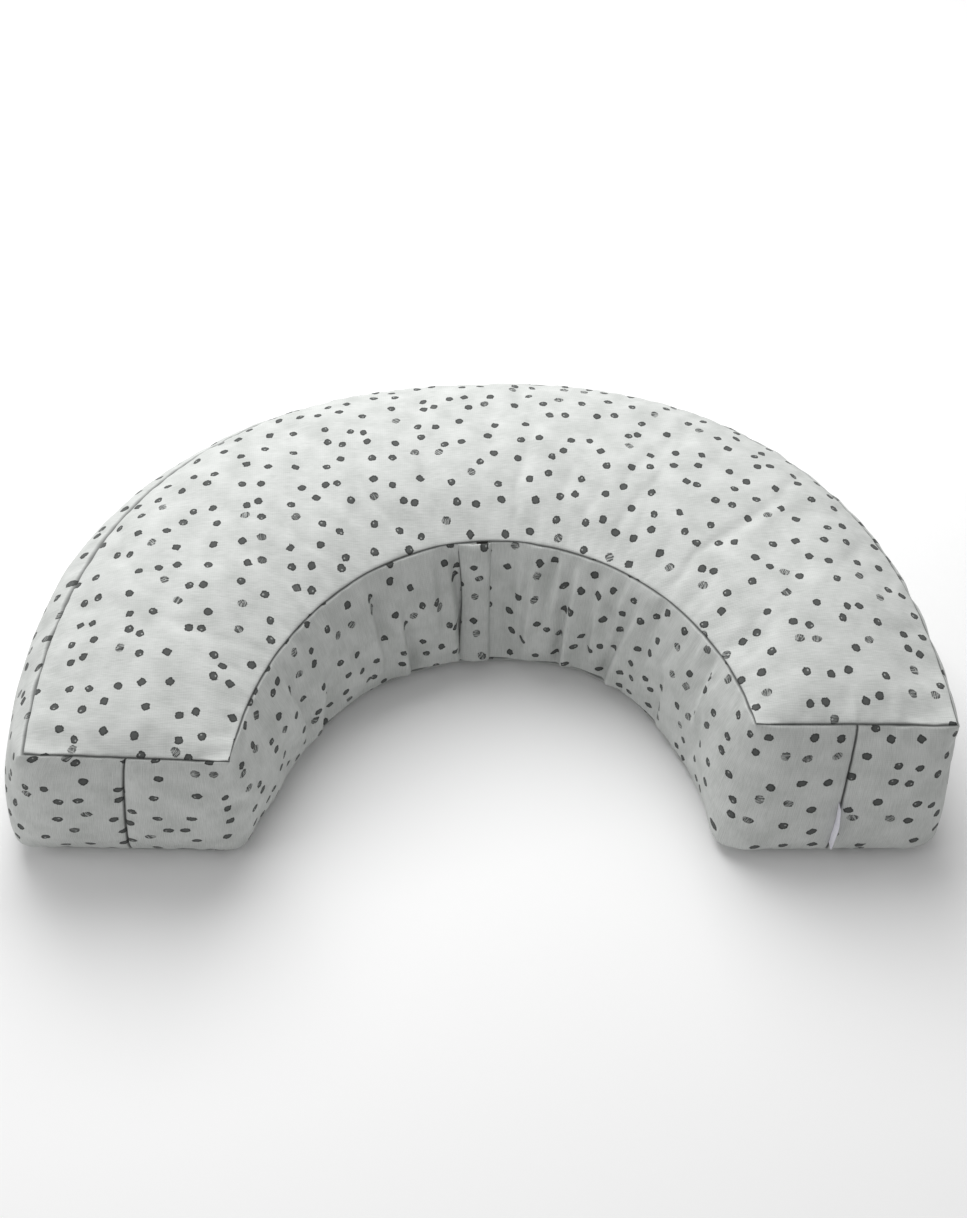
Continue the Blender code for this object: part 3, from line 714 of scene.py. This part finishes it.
    def _ring(self) -> tuple[Array, Array]:
        """The outline's grid columns in order, as their places along and across."""
        last_i, last_j = self.shape[0] - 1, self.shape[1] - 1
        i = [*range(last_i + 1), *[last_i] * last_j, *range(last_i - 1, -1, -1), *[0] * (last_j - 1)]
        j = [*[0] * (last_i + 1), *range(1, last_j + 1), *[last_j] * last_i, *range(last_j - 1, 0, -1)]
        return np.array(i), np.array(j)

    def _round_corners(self, points: Array) -> None:
        """Rounds the boxing where it turns round the legs' corners, below its top seam."""
        i, j = self._ring()
        last_i, last_j = self.shape[0] - 1, self.shape[1] - 1
        sharp = ((i == 0) | (i == last_i)) & ((j == 0) | (j == last_j))
        for k in range(self.shape[2] - 1):
            radius = np.interp(self.up[k], *self.corner_profile) * self.corner_radius
            ring = points[i, j, k]
            step = np.linalg.norm(np.roll(ring, -1, axis=0) - ring, axis=1)
            place = np.concatenate([[0], np.cumsum(step)[:-1]])
            length = step.sum()
            weight = (step + np.roll(step, 1)) / 2
            gap = np.abs(place[:, None] - place[None])
            gap = np.minimum(gap, length - gap)
            blur = np.exp(-(gap / max(radius, 0.1 * MM)) ** 2 / 2) * weight[None]
            rounded = blur @ ring / blur.sum(axis=1, keepdims=True)
            from_corner = gap[:, sharp].min(axis=1)
            share = np.clip(2 - from_corner / self.corner_reach, 0, 1)
            move = (rounded - ring) * (share * share * (3 - 2 * share))[:, None]
            points[i, j, k] = ring + move
            if k == 0:
                self._follow_rim(points, ring, move)

    def _follow_rim(self, points: Array, rim: Array, move: Array) -> None:
        """Carries the bottom panel's inside along with its rounded rim.

        Args:
            points: The grid, whose bottom layer is changed in place.
            rim: The rim's points before they were rounded.
            move: How far each of them moved.
        """
        inside = points[1:-1, 1:-1, 0].reshape(-1, 3)
        gap = np.linalg.norm(inside[:, None, :2] - rim[None, :, :2], axis=2) + 0.1 * MM
        weight = gap ** -3.0
        carried = weight @ move / weight.sum(axis=1, keepdims=True)
        fade = np.exp(-(gap.min(axis=1) / self.rim_reach) ** 2)
        shape = points[1:-1, 1:-1, 0].shape
        points[1:-1, 1:-1, 0] = (inside + carried * fade[:, None]).reshape(shape)

    @staticmethod
    def _turned(direction: Array, side: int) -> Array:
        """Unit vectors a quarter turn from the given ones: left for 1, right for -1."""
        unit = direction / np.linalg.norm(direction, axis=-1, keepdims=True)
        return np.stack([-unit[:, 1], unit[:, 0]], axis=-1) * side

    @staticmethod
    def _away_from_placket(x: Array) -> Array:
        """0 where the zip lies, rising to 1 beside it."""
        share = np.clip((np.abs(x) - 14 * MM) / (26 * MM), 0, 1)
        return share * share * (3 - 2 * share)

    def surface_ids(self) -> tuple[Array, Array]:
        """Numbers the grid points that lie on the surface.

        Returns:
            An id for each grid point, or -1 inside, and the grid places in id order.
        """
        inside = np.ones(self.shape, bool)
        for axis in range(3):
            rim: list[Any] = [slice(None)] * 3
            for end in (0, -1):
                rim[axis] = end
                inside[tuple(rim)] = False
        ids = np.full(self.shape, -1)
        places = np.argwhere(~inside)
        ids[tuple(places.T)] = np.arange(len(places))
        return ids, places

    def walls(self) -> dict[str, list[tuple[int, ...]]]:
        """The quads of each side, as grid-point ids, all facing outwards."""
        ids, _ = self.surface_ids()
        sheets = {
            "outer": ids[:, 0, :], "inner": ids[:, -1, ::-1],
            "right_end": ids[0, ::-1, :], "left_end": ids[-1],
            "top": ids[:, :, -1], "bottom": ids[::-1, :, 0],
        }
        quads = {}
        for name, grid in sheets.items():
            a, b, c, d = grid[:-1, :-1], grid[1:, :-1], grid[1:, 1:], grid[:-1, 1:]
            quads[name] = [tuple(int(v) for v in q) for q in np.stack([a, b, c, d], -1).reshape(-1, 4)]
        return quads

    def on_seam(self) -> Array:
        """Which surface points lie on a seam."""
        _, places = self.surface_ids()
        i, j, k = places.T
        last_i, last_j, last_k = (n - 1 for n in self.shape)
        rim = (i == 0) | (i == last_i) | (j == 0) | (j == last_j)
        seam_j = int(np.argmin(abs(self.across - 0.5)))
        middle = ((i == 0) | (i == last_i)) & (j == seam_j)
        return ((k == 0) | (k == last_k)) & rim | middle

    def settle(self) -> None:
        """Swells the cut shape as stuffed cloth, then folds it and pulls its seams in."""
        _, places = self.surface_ids()
        start = self.points[tuple(places.T)]
        quads = [q for side in self.walls().values() for q in side]
        mesh = bpy.data.meshes.new("cushion_form")
        mesh.from_pydata(start.tolist(), [], quads)
        form = bpy.data.objects.new("cushion_form", mesh)
        bpy.context.scene.collection.objects.link(form)
        settled = self._simulated(form, start, places)
        move = settled - start
        length = np.linalg.norm(move, axis=1, keepdims=True)
        settled = start + move * np.minimum(1, self.travel / np.maximum(length, 1e-9))
        settled = self._folded(settled, places)
        settled[:, 2] = np.maximum(settled[:, 2], 0.0)
        normals = self._mesh_normals(mesh, settled)
        settled += normals * self._puckers(places)[:, None]
        seam = self.on_seam()
        settled[seam] -= normals[seam] * self.seam_dip
        settled[:, 2] = np.maximum(settled[:, 2], 0.0)
        self.points[tuple(places.T)] = settled
        self.normals[tuple(places.T)] = normals
        bpy.data.objects.remove(form)

    @staticmethod
    def _mesh_normals(mesh: bpy.types.Mesh, points: Array) -> Array:
        """The mesh's vertex normals once its points are in place."""
        mesh.vertices.foreach_set("co", points.ravel())
        mesh.update()
        return np.array([v.vector[:] for v in mesh.vertex_normals])

    def _simulated(self, form: bpy.types.Object, start: Array, places: Array) -> Array:
        """Runs the cloth.

        Args:
            form: The closed form in its cut shape.
            start: Its points.
            places: Their places on the grid.

        Returns:
            The points after the cloth has settled.
        """
        held = form.vertex_groups.new(name="held")
        full = form.vertex_groups.new(name="full")
        j, k = places[:, 1], places[:, 2]
        floor = (k == 0) & (self.across[j] > 0.12) & (self.across[j] < 0.88)
        calm = (np.abs(start[:, 0]) < 19 * MM) & (j == self.shape[1] - 1)
        for index in np.nonzero(self.on_seam() | floor | calm)[0]:
            held.add([int(index)], 1.0, "REPLACE")
        for index in np.nonzero(j == self.shape[1] - 1)[0]:
            full.add([int(index)], 1.0, "REPLACE")
        cloth = form.modifiers.new("cloth", "CLOTH")
        settings = cloth.settings
        settings.quality = 6
        settings.mass = 0.25
        settings.tension_stiffness = 12
        settings.compression_stiffness = 12
        settings.shear_stiffness = 4
        settings.bending_stiffness = 0.2
        settings.vertex_group_mass = "held"
        settings.pin_stiffness = 1.0
        settings.use_pressure = True
        settings.uniform_pressure_force = 2.5
        settings.vertex_group_shrink = "full"
        settings.shrink_min = -0.012
        settings.shrink_max = -0.06
        settings.effector_weights.gravity = 0
        scene = bpy.context.scene
        cloth.point_cache.frame_start, cloth.point_cache.frame_end = 1, self.frames
        for frame in range(1, self.frames + 1):
            scene.frame_set(frame)
        shown = form.evaluated_get(bpy.context.evaluated_depsgraph_get())
        settled = np.empty(len(start) * 3, np.float32)
        shown.data.vertices.foreach_get("co", settled)
        scene.frame_set(1)
        form.modifiers.clear()
        return settled.reshape(-1, 3).astype(float)

    def _folded(self, points: Array, places: Array) -> Array:
        """Presses the listed folds into the inner wall.

        Args:
            points: The surface points.
            places: Their places on the grid.

        Returns:
            The points with the folds in them.
        """
        i, j, k = places.T
        angle = -self.along[i] * self.plan.inner_end()
        height = self.up[k]
        inwards = np.stack([-np.sin(angle), -np.cos(angle), np.zeros_like(angle)], axis=-1)
        shift = np.zeros(len(points))
        for fold in self.folds:
            line = math.radians(fold.angle) + math.radians(fold.lean) * (1 - height)
            aside = (angle - line) * self.plan.inner_half_width / (fold.width * MM)
            share = np.clip((height - fold.low) / (fold.high - fold.low), 0, 1)
            strength = np.sin(math.pi * share) ** 0.6 if fold.low > 0 else np.cos(math.pi / 2 * share) ** 0.7
            aside = aside * math.copysign(1.0, fold.angle)
            over = 0.5 + 0.5 * np.tanh(aside / self.fold_edge)
            lap = 0.75 * over * np.exp(-(aside / 2.2) ** 2) - (1 - over) * np.exp(-(aside / 1.7) ** 2)
            shift += lap * strength * fold.depth * self.fold_gain * MM
        edge = np.clip((1 - height) / 0.08, 0, 1) * np.clip(height / 0.04, 0, 1)
        calm = self._away_from_placket(points[:, 0] * 1.7)
        return points + inwards * (shift * edge * calm * (j == self.shape[1] - 1))[:, None]

    def _puckers(self, places: Array) -> Array:
        """Small gathers beside the seams and soft hollows across the panels, as heights."""
        plan = self.plan
        i, j, k = places.T
        last_i, last_j, last_k = (n - 1 for n in self.shape)
        run = self.along[i] * plan.half_length
        u, w = self.across[j], self.up[k]
        width = plan.band_width
        rise = plan.top_seam - plan.bottom_seam
        from_end = (1 - np.abs(self.along[i])) * plan.half_length
        wall = ((j == 0) | (j == last_j) | (i == 0) | (i == last_i)) & (k > 0) & (k < last_k)
        flat = (k == last_k) | (k == 0)
        beside = np.where(wall, (1 - w) * rise, np.minimum(np.minimum(u, 1 - u) * width, from_end))
        beside_foot = np.where(wall, w * rise, 1.0)
        across_end = ((i == 0) | (i == last_i)) | (flat & (from_end < np.minimum(u, 1 - u) * width))
        along_wall = run + np.where(j > last_j // 2, 5.0, 0.0)
        place = np.where(across_end, u * width + np.sign(run) * 2.0, along_wall)
        rng = np.random.default_rng(11)
        height = np.zeros(len(places))
        for reach in (beside, beside_foot):
            gathers = np.zeros(len(places))
            for wave in (13, 19, 31, 47):
                turn = rng.uniform(0, 2 * math.pi)
                lean = rng.uniform(-0.25, 0.25)
                strength = rng.uniform(0.6, 1.0)
                gathers += strength * np.sin((place + reach * lean) / (wave * MM) * 2 * math.pi + turn)
            swing = np.sin(place / 0.083 + rng.uniform(0, 6)) * np.sin(place / 0.031 + rng.uniform(0, 6))
            near = reach / (7 * MM) * np.exp(1 - reach / (7 * MM))
            height += gathers * near * (0.35 + 0.65 * swing ** 2) * self.pucker * 0.45
        x, y = self.points[i, j, k, 0], self.points[i, j, k, 1]
        soft = np.zeros(len(places))
        for _ in range(7):
            bearing, wave = rng.uniform(0, math.pi), rng.uniform(0.06, 0.14)
            way = (x * math.cos(bearing) + y * math.sin(bearing)) * 2 * math.pi / wave
            soft += np.sin(way + rng.uniform(0, 2 * math.pi))
        middle = np.clip(np.minimum(np.minimum(u, 1 - u) * width, from_end) / (30 * MM), 0, 1)
        height += np.where(k == last_k, soft * middle * 0.45 * MM, 0)
        calm = np.where(j == last_j, self._away_from_placket(x), 1.0)
        return height * calm * ~self.on_seam()


# ---------------------------------------------------------------- panels and pieces


def add_mesh(name: str, points: Sequence[Sequence[float]],
             faces: Sequence[Sequence[int]]) -> bpy.types.Object:
    """Makes a smooth mesh object.

    Args:
        name: The piece's name.
        points: Its points, in metres.
        faces: Its faces, as point numbers.

    Returns:
        The object, linked to the scene.
    """
    mesh = bpy.data.meshes.new(name)
    mesh.from_pydata([tuple(map(float, p)) for p in points], [], [list(map(int, f)) for f in faces])
    mesh.validate()
    mesh.shade_smooth()
    thing = bpy.data.objects.new(name, mesh)
    bpy.context.scene.collection.objects.link(thing)
    return thing


def smooth(thing: bpy.types.Object, levels: int = 1) -> None:
    """Adds a subdivision surface with equal levels in the viewport and the render."""
    modifier = thing.modifiers.new("rounding", "SUBSURF")
    modifier.levels = modifier.render_levels = levels
    modifier.boundary_smooth = "PRESERVE_CORNERS"


@dataclass
class PanelCut:
    """One panel of the cover: which faces it takes and how its cloth was cut."""

    name: str
    node: str
    sides: tuple[str, ...]
    keep: Callable[[Array, Array], bool]
    grain: Grain
    offset: tuple[float, float]
    fill: float


@dataclass
class Cover:
    """The sewn cover, as five panels cut from the settled form."""

    form: CushionForm
    finishes: Finishes
    placket_half_opening: float = 5.0 * MM

    def cuts(self) -> list[PanelCut]:
        """The panels and what each one covers."""
        middle = 0.5

        def everything(u: Array, x: Array) -> bool:
            """Keeps the whole side."""
            return True

        def outer_half(u: Array, x: Array) -> bool:
            """Keeps what lies outside the middle seam of a leg's end."""
            return bool(u.max() <= middle + 1e-6)

        def inner_half(side: int) -> Callable[[Array, Array], bool]:
            """Keeps one side of the inner wall: -1 for the left, 1 for the right."""

            def keep(u: Array, x: Array) -> bool:
                """Keeps what lies inside the middle seam and beside the zip."""
                inner_part = u.min() >= middle - 1e-6
                return bool(inner_part and (side * x).min() >= self.placket_half_opening - 1e-5)

            return keep

        return [
            PanelCut("cover_top_panel", "top_panel", ("top",), everything,
                     Grain.ALONG_U, (0.013, 0.008), 0.85),
            PanelCut("cover_bottom_panel", "bottom_panel", ("bottom",), everything,
                     Grain.ALONG_U, (1.9, 0.4), 0.85),
            PanelCut("cover_outer_boxing", "outer_boxing", ("outer", "right_end", "left_end"), outer_half,
                     Grain.ALONG_V, (3.31, 0.2), 0.8),
            PanelCut("cover_inner_boxing_left", "inner_boxing_left", ("inner", "left_end"), inner_half(-1),
                     Grain.ALONG_V, (5.27, 0.7), 0.75),
            PanelCut("cover_inner_boxing_right", "inner_boxing_right", ("inner", "right_end"), inner_half(1),
                     Grain.ALONG_V, (7.13, 0.9), 0.75),
        ]

    def build(self) -> list[bpy.types.Object]:
        """Makes every panel."""
        return [self._panel(cut) for cut in self.cuts()]

    def _flat_places(self, places: Array, sides: tuple[str, ...]) -> Array:
        """Where each point lies on its panel's flat pattern, in metres."""
        form, plan = self.form, self.form.plan
        i, j, k = places.T
        outer, inner = plan.outer(form.along), plan.inner(form.along)
        if sides[0] in ("top", "bottom"):
            u = form.across[j][:, None]
            return outer[i] * (1 - u) + inner[i] * u
        height = form.up[k] * (plan.top_seam - plan.bottom_seam)
        seam = outer if sides[0] == "outer" else inner
        steps = np.linalg.norm(np.diff(seam, axis=0), axis=1)
        run = np.concatenate([[0], np.cumsum(steps)])[i]
        width = np.linalg.norm(outer[0] - inner[0])
        from_corner = form.across[j] if sides[0] == "outer" else 1 - form.across[j]
        on_end = from_corner > 1e-9
        run = np.where(on_end & (i == 0), -from_corner * width, run)
        run = np.where(on_end & (i == len(form.along) - 1), run + from_corner * width, run)
        return np.stack([run, height], axis=-1)

    def _seam_distance(self, places: Array, sides: tuple[str, ...]) -> Array:
        """Distance from each point to its panel's nearest seam or to the zip opening's edge, in metres, from
        which the jersey paints seam shade and a shadow beside the opening.
        """
        form, plan = self.form, self.form.plan
        i, j, k = places.T
        rise = plan.top_seam - plan.bottom_seam
        width = np.linalg.norm(plan.outer(form.along) - plan.inner(form.along), axis=1)[i]
        u, w = form.across[j], form.up[k]
        from_end = (1 - np.abs(form.along[i])) * plan.half_length
        if sides[0] in ("top", "bottom"):
            return np.minimum.reduce([u * width, (1 - u) * width, from_end])
        middle = np.where((i == 0) | (i == len(form.along) - 1), np.abs(u - 0.5) * width, 1.0)
        # Painted shadow: on the right panel the distance falls to 0 at the zip opening's edge, so the jersey
        # darkens there as if shaded by the flap's free edge.
        slit = np.where(j == form.shape[1] - 1, plan.inner(form.along)[i, 0] - self.placket_half_opening, 1.0)
        slit = np.where(slit < -1e-5, 1.0, np.abs(slit))
        return np.minimum.reduce([w * rise, (1 - w) * rise, middle, slit])

    def _panel(self, cut: PanelCut) -> bpy.types.Object:
        """Makes one panel from the settled form.

        Args:
            cut: What the panel covers.

        Returns:
            The panel, finished and riding on the cushion.
        """
        form = self.form
        _, places = form.surface_ids()
        seam_x = form.plan.inner(form.along)[:, 0]
        walls = form.walls()
        kept = []
        for side in cut.sides:
            for quad in walls[side]:
                where = places[list(quad)]
                spots = seam_x[where[:, 0]] if side == "inner" else np.sign(seam_x[where[:, 0]])
                if side == "inner" and cut.sides[0] != "inner":
                    continue
                if cut.keep(form.across[where[:, 1]], spots):
                    kept.append(quad)
        used, numbers = np.unique(np.array(kept), return_inverse=True)
        panel = add_mesh(cut.name, form.points[tuple(places[used].T)], numbers.reshape(-1, 4))
        mesh = panel.data
        flat = self._flat_places(places[used], cut.sides)
        corners = np.empty(len(mesh.loops), int)
        mesh.loops.foreach_get("vertex_index", corners)
        layer = mesh.uv_layers.new(name="pattern")
        layer.uv.foreach_set("vector", flat[corners].ravel())
        # The "seam" attribute carries the distance from which the jersey paints seam shade.
        seam = mesh.attributes.new("seam", "FLOAT", "POINT")
        seam.data.foreach_set("value", self._seam_distance(places[used], cut.sides).astype(np.float32))
        mesh.materials.append(self.finishes.jersey.build(f"dotted_jersey_{cut.node}", cut.grain, cut.offset))
        smooth(panel)
        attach(panel, "cushion")
        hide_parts(cut.node)
        return panel


@dataclass
class FilledCasing:
    """The casing and the filling inside the cover, drawn in from the settled form."""

    form: CushionForm
    finishes: Finishes
    casing_depth: float = 2.6 * MM
    filling_depth: float = 4.6 * MM
    pocket_depth: float = 5.5 * MM
    pocket_half_width: float = 18 * MM

    def build(self) -> list[bpy.types.Object]:
        """Makes the casing and the filling."""
        casing = self._layer("filled_casing", self.casing_depth, self.finishes.lining)
        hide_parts("casing_top", "casing_bottom", "casing_boxing")
        filling = self._layer("soft_filling", self.filling_depth, self.finishes.fibre)
        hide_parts("fibre_filling")
        return [casing, filling]

    def _layer(self, name: str, depth: float, finish: bpy.types.Material) -> bpy.types.Object:
        """A closed layer at a depth below the cover."""
        form = self.form
        _, places = form.surface_ids()
        points = form.points[tuple(places.T)].copy()
        normals = form.normals[tuple(places.T)]
        behind = (places[:, 1] == form.shape[1] - 1) & (np.abs(points[:, 0]) <= self.pocket_half_width)
        inwards = np.where(behind, depth + self.pocket_depth, depth)
        points -= normals * inwards[:, None]
        quads = [q for side in form.walls().values() for q in side]
        layer = add_mesh(name, points, quads)
        layer.data.materials.append(finish)
        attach(layer, "cushion")
        return layer


@dataclass
class Placket:
    """The flap over the zip: a double layer of jersey, sewn down on its left edge."""

    form: CushionForm
    finishes: Finishes
    thickness: float = 1.3 * MM
    columns: int = 18
    rows: int = 40
    waist: float = 4 * MM  # how much narrower the flap is at its middle, on its sewn side
    shift: float = -7.4 * MM  # the flap lies this far to its sewn side of the zip
    extra_width: float = 5 * MM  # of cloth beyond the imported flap
    sewn_depth: float = 7 * MM  # below the top seam, where the flap flattens into it
    top_gap: float = 1.0 * MM

    def build(self) -> bpy.types.Object:
        """Makes the flap."""
        low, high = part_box("placket_flap")
        plan = self.form.plan
        half = (high[0] - low[0]) / 2 + self.extra_width / 2
        back = high[1]
        crest = low[1]
        top = plan.top_seam + self.form.lift - self.top_gap
        wall = self.form.points[:, -1, :]
        beside = wall[int(np.argmin(np.abs(wall[:, -1, 0] - half)))]
        points, flat, seam = [], [], []
        for layer in (0, 1):
            for r in range(self.rows + 1):
                share = r / self.rows
                height = low[2] + (top - low[2]) * share
                lean = min(float(np.interp(height, beside[:, 2], beside[:, 1])) - back, 0.0)
                bow = math.sin(math.pi * share)
                below_seam = min((top - height) / self.sewn_depth, 1.0)
                sewn = 0.08 + 0.92 * math.sin(math.pi / 2 * below_seam)
                for c in range(self.columns + 1):
                    t = 2 * c / self.columns - 1
                    x = self.shift + half * t + self.waist * bow * (1 - t) / 2
                    rise = (back - crest) * self._arch(x, half) * sewn
                    ripple = 0.25 * MM * (1 + math.sin(7.3 * share + 1.1)) * (1 - abs(t) ** 4)
                    ridge = 0.5 * MM * math.exp(-((t + 0.05) / 0.16) ** 2)
                    edge = self.thickness * (1 - abs(t) ** 14 * 0.75) / 2
                    y = back + lean - rise + self.thickness / 2 - ripple - ridge
                    y += edge if layer else -edge
                    points.append((x, y, height))
                    flat.append((x, height))
                    # Painted shade: the "seam" value falls to 0 at the flap's sewn left edge, so the jersey
                    # darkens there as a shade line.
                    seam.append(half * (1 + t))
        faces = self._faces()
        flap = add_mesh("placket_flap_cloth", points, faces)
        mesh = flap.data
        corners = np.empty(len(mesh.loops), int)
        mesh.loops.foreach_get("vertex_index", corners)
        mesh.uv_layers.new(name="pattern").uv.foreach_set("vector", np.array(flat)[corners].ravel())
        mesh.attributes.new("seam", "FLOAT", "POINT").data.foreach_set("value", np.array(seam, np.float32))
        mesh.materials.append(self.finishes.jersey.build("dotted_jersey_flap", Grain.ALONG_V, (9.41, 0.3)))
        smooth(flap)
        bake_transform(flap)
        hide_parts("placket_flap")
        return flap

    def _arch(self, x: float, half: float) -> float:
        """How far the flap has risen over the zip's slider.

        Args:
            x: A place across the flap.
            half: Half of the flap's width.

        Returns:
            0 at the flap's edges, rising to 1 over the slider.
        """
        if x < 0:
            return 1 - min(abs(x / (self.shift - half)), 1) ** 3
        return 1 - min(x / (self.shift + half), 1) ** 6

    def _faces(self) -> list[tuple[int, ...]]:
        """Front, back and rim of the flap."""
        wide = self.columns + 1
        layer = wide * (self.rows + 1)
        faces: list[tuple[int, ...]] = []
        for r in range(self.rows):
            for c in range(self.columns):
                a = r * wide + c
                faces.append((a, a + 1, a + wide + 1, a + wide))
                b = a + layer
                faces.append((b + wide, b + wide + 1, b + 1, b))
        for r in range(self.rows):
            for c, turned in ((0, False), (self.columns, True)):
                a, b = r * wide + c, (r + 1) * wide + c
                rim = (a, b, b + layer, a + layer)
                faces.append(rim[::-1] if turned else rim)
        for c in range(self.columns):
            for r, turned in ((0, True), (self.rows, False)):
                a, b = r * wide + c, r * wide + c + 1
                rim = (a, b, b + layer, a + layer)
                faces.append(rim[::-1] if turned else rim)
        return faces


@dataclass
class CareLabel:
    """A blank satin label, folded double and caught in the right leg's end seam."""

    form: CushionForm
    finishes: Finishes
    lean: float = math.radians(-7)
    reach: float = 26 * MM
    caught: float = 15 * MM  # of its reach that is caught inside the seam
    lift: float = 9 * MM  # as the cushion's foot carries the seam outwards
    curl: float = 0.14
    gap: float = 0.5 * MM  # between its two leaves
    columns: int = 10
    rows: int = 14

    def build(self) -> bpy.types.Object:
        """Makes the label."""
        low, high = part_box("care_label")
        form = self.form
        middle = int(np.argmin(abs(form.across - 0.5)))
        seam = form.points[0, middle]
        points = []
        wide = 2 * self.columns + 1
        for r in range(self.rows + 1):
            height = low[2] + self.lift + (high[2] - low[2]) * r / self.rows
            root = np.array([np.interp(height, seam[:, 2], seam[:, axis]) for axis in (0, 1)])
            share = r / self.rows
            lean = self.lean * (0.75 + 0.5 * share)
            for c in range(wide):
                t = c - self.columns
                out = self.reach * (1 - abs(t) / self.columns)
                out_share = out / self.reach
                angle = lean + self.curl * out_share ** 2 * math.sin(2.4 * share + 0.4)
                side = math.copysign(self.gap * math.sqrt(max(out_share * (1 - out_share), 0)) * 2, t)
                x = root[0] + math.sin(angle) * out + math.cos(angle) * side
                y = root[1] + self.caught - math.cos(angle) * out + math.sin(angle) * side
                z = height - 1.5 * MM * out_share ** 2
                points.append((x, y, z))
        faces = [
            (r * wide + c, r * wide + c + 1, (r + 1) * wide + c + 1, (r + 1) * wide + c)
            for r in range(self.rows) for c in range(wide - 1)
        ]
        label = add_mesh("care_label_ribbon", points, faces)
        label.data.materials.append(self.finishes.satin)
        smooth(label)
        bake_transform(label)
        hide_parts("care_label")
        return label


@dataclass
class ZipDressing:
    """Finishes for the zip's own pieces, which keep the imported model's shapes."""

    frame: dict[str, Any]
    finishes: Finishes

    def dress(self) -> None:
        """Gives each zip piece its material."""
        finish = {
            "zip_tape_left": self.finishes.tape, "zip_tape_right": self.finishes.tape,
            "zip_coil_left": self.finishes.nylon, "zip_coil_right": self.finishes.nylon,
            "zip_lower_stop": self.finishes.zinc, "zip_upper_stop": self.finishes.zinc,
            "zip_slider": self.finishes.zinc, "zip_pull": self.finishes.zinc,
            "zip_guard": self.finishes.lining,
        }
        for node, material in finish.items():
            thing = self.frame["nodes"][node]
            for slot in thing.material_slots:
                slot.material = material


# ---------------------------------------------------------------- studio


@dataclass(frozen=True)
class SoftBox:
    """One large soft lamp."""

    name: str
    place: tuple[float, float, float]
    size: float
    watts: float


@dataclass
class Studio:
    """Pale floor, soft light and the camera."""

    target: tuple[float, float, float] = (0.0070, 0.0600, 0.0)
    azimuth: float = -5.18
    elevation: float = 50.63
    distance: float = 1.562
    roll: float = 1.48
    lens: float = 46.53
    world_strength: float = 0.40
    floor_half_width: float = 30.0
    lamps: tuple[SoftBox, ...] = (
        SoftBox("sky_box", (-0.2, 1.0, 1.6), 1.5, 37.0),
        SoftBox("left_fill", (-2.2, -0.4, 1.2), 1.4, 9.0),
    )

    def build(self) -> None:
        """Sets up the whole studio."""
        self._floor()
        self._world()
        for lamp in self.lamps:
            self._lamp(lamp)
        self._camera()

    def _floor(self) -> None:
        """A seamless sheet of white paper."""
        half = self.floor_half_width
        rim = [(-half, -half, 0), (half, -half, 0), (half, half, 0), (-half, half, 0)]
        floor = add_mesh("studio_floor", rim, [(0, 1, 2, 3)])
        floor.location.z = -0.4 * MM
        material, tree, shader = new_material("matt_white_paper")
        set_shader(shader, Roughness=1.0)
        shader.inputs["Base Color"].default_value = linear("f6f6f6")
        shader.inputs["Specular IOR Level"].default_value = 0.0
        floor.data.materials.append(material)

    def _world(self) -> None:
        """Even light from all round."""
        world = bpy.data.worlds.new("studio_air")
        world.use_nodes = True
        background = world.node_tree.nodes["Background"]
        background.inputs["Color"].default_value = (1, 1, 1, 1)
        background.inputs["Strength"].default_value = self.world_strength
        bpy.context.scene.world = world
        bpy.context.scene.view_settings.view_transform = "Standard"

    def _lamp(self, box: SoftBox) -> None:
        """Hangs one lamp, aimed at the pillow."""
        data = bpy.data.lights.new(box.name, "AREA")
        data.shape = "SQUARE"
        data.size = box.size
        data.energy = box.watts
        lamp = bpy.data.objects.new(box.name, data)
        lamp.location = box.place
        aim = Vector(self.target) - Vector(box.place)
        lamp.rotation_euler = aim.to_track_quat("-Z", "Y").to_euler()
        bpy.context.scene.collection.objects.link(lamp)

    def _camera(self) -> None:
        """Looks down on the open side of the C."""
        data = bpy.data.cameras.new("camera")
        data.lens = self.lens
        data.sensor_width = 36.0
        camera = bpy.data.objects.new("camera", data)
        azimuth, elevation = math.radians(self.azimuth), math.radians(self.elevation)
        back = Vector((math.sin(azimuth) * math.cos(elevation), -math.cos(azimuth) * math.cos(elevation),
                       math.sin(elevation)))
        camera.location = Vector(self.target) + back * self.distance
        turn = (-back).to_track_quat("-Z", "Y").to_matrix().to_4x4()
        tilt = Matrix.Rotation(math.radians(self.roll), 4, "Z")
        camera.matrix_world = Matrix.Translation(camera.location) @ turn @ tilt
        bpy.context.scene.collection.objects.link(camera)
        bpy.context.scene.camera = camera


# ---------------------------------------------------------------- assembly


def corners(box: Iterable[Vector]) -> list[list[float]]:
    """A box's two corners as plain lists."""
    return [[float(v) for v in corner] for corner in box]


def main() -> None:
    """Builds the pillow's looks in order and reports each piece."""
    logging.basicConfig(level=logging.INFO, format="%(message)s")
    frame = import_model()
    finishes = Finishes()
    form = CushionForm(PillowPlan())
    log.info("cushion grid %s", form.shape)
    form.settle()
    for piece in Cover(form, finishes).build():
        log.info("cover: %s, %d faces", piece.name, len(piece.data.polygons))
    for piece in FilledCasing(form, finishes).build():
        log.info("inside: %s", piece.name)
    log.info("placket: %s", Placket(form, finishes).build().name)
    log.info("label: %s", CareLabel(form, finishes).build().name)
    ZipDressing(frame, finishes).dress()
    Studio().build()
    bpy.context.view_layer.update()


if __name__ == "__main__":
    main()
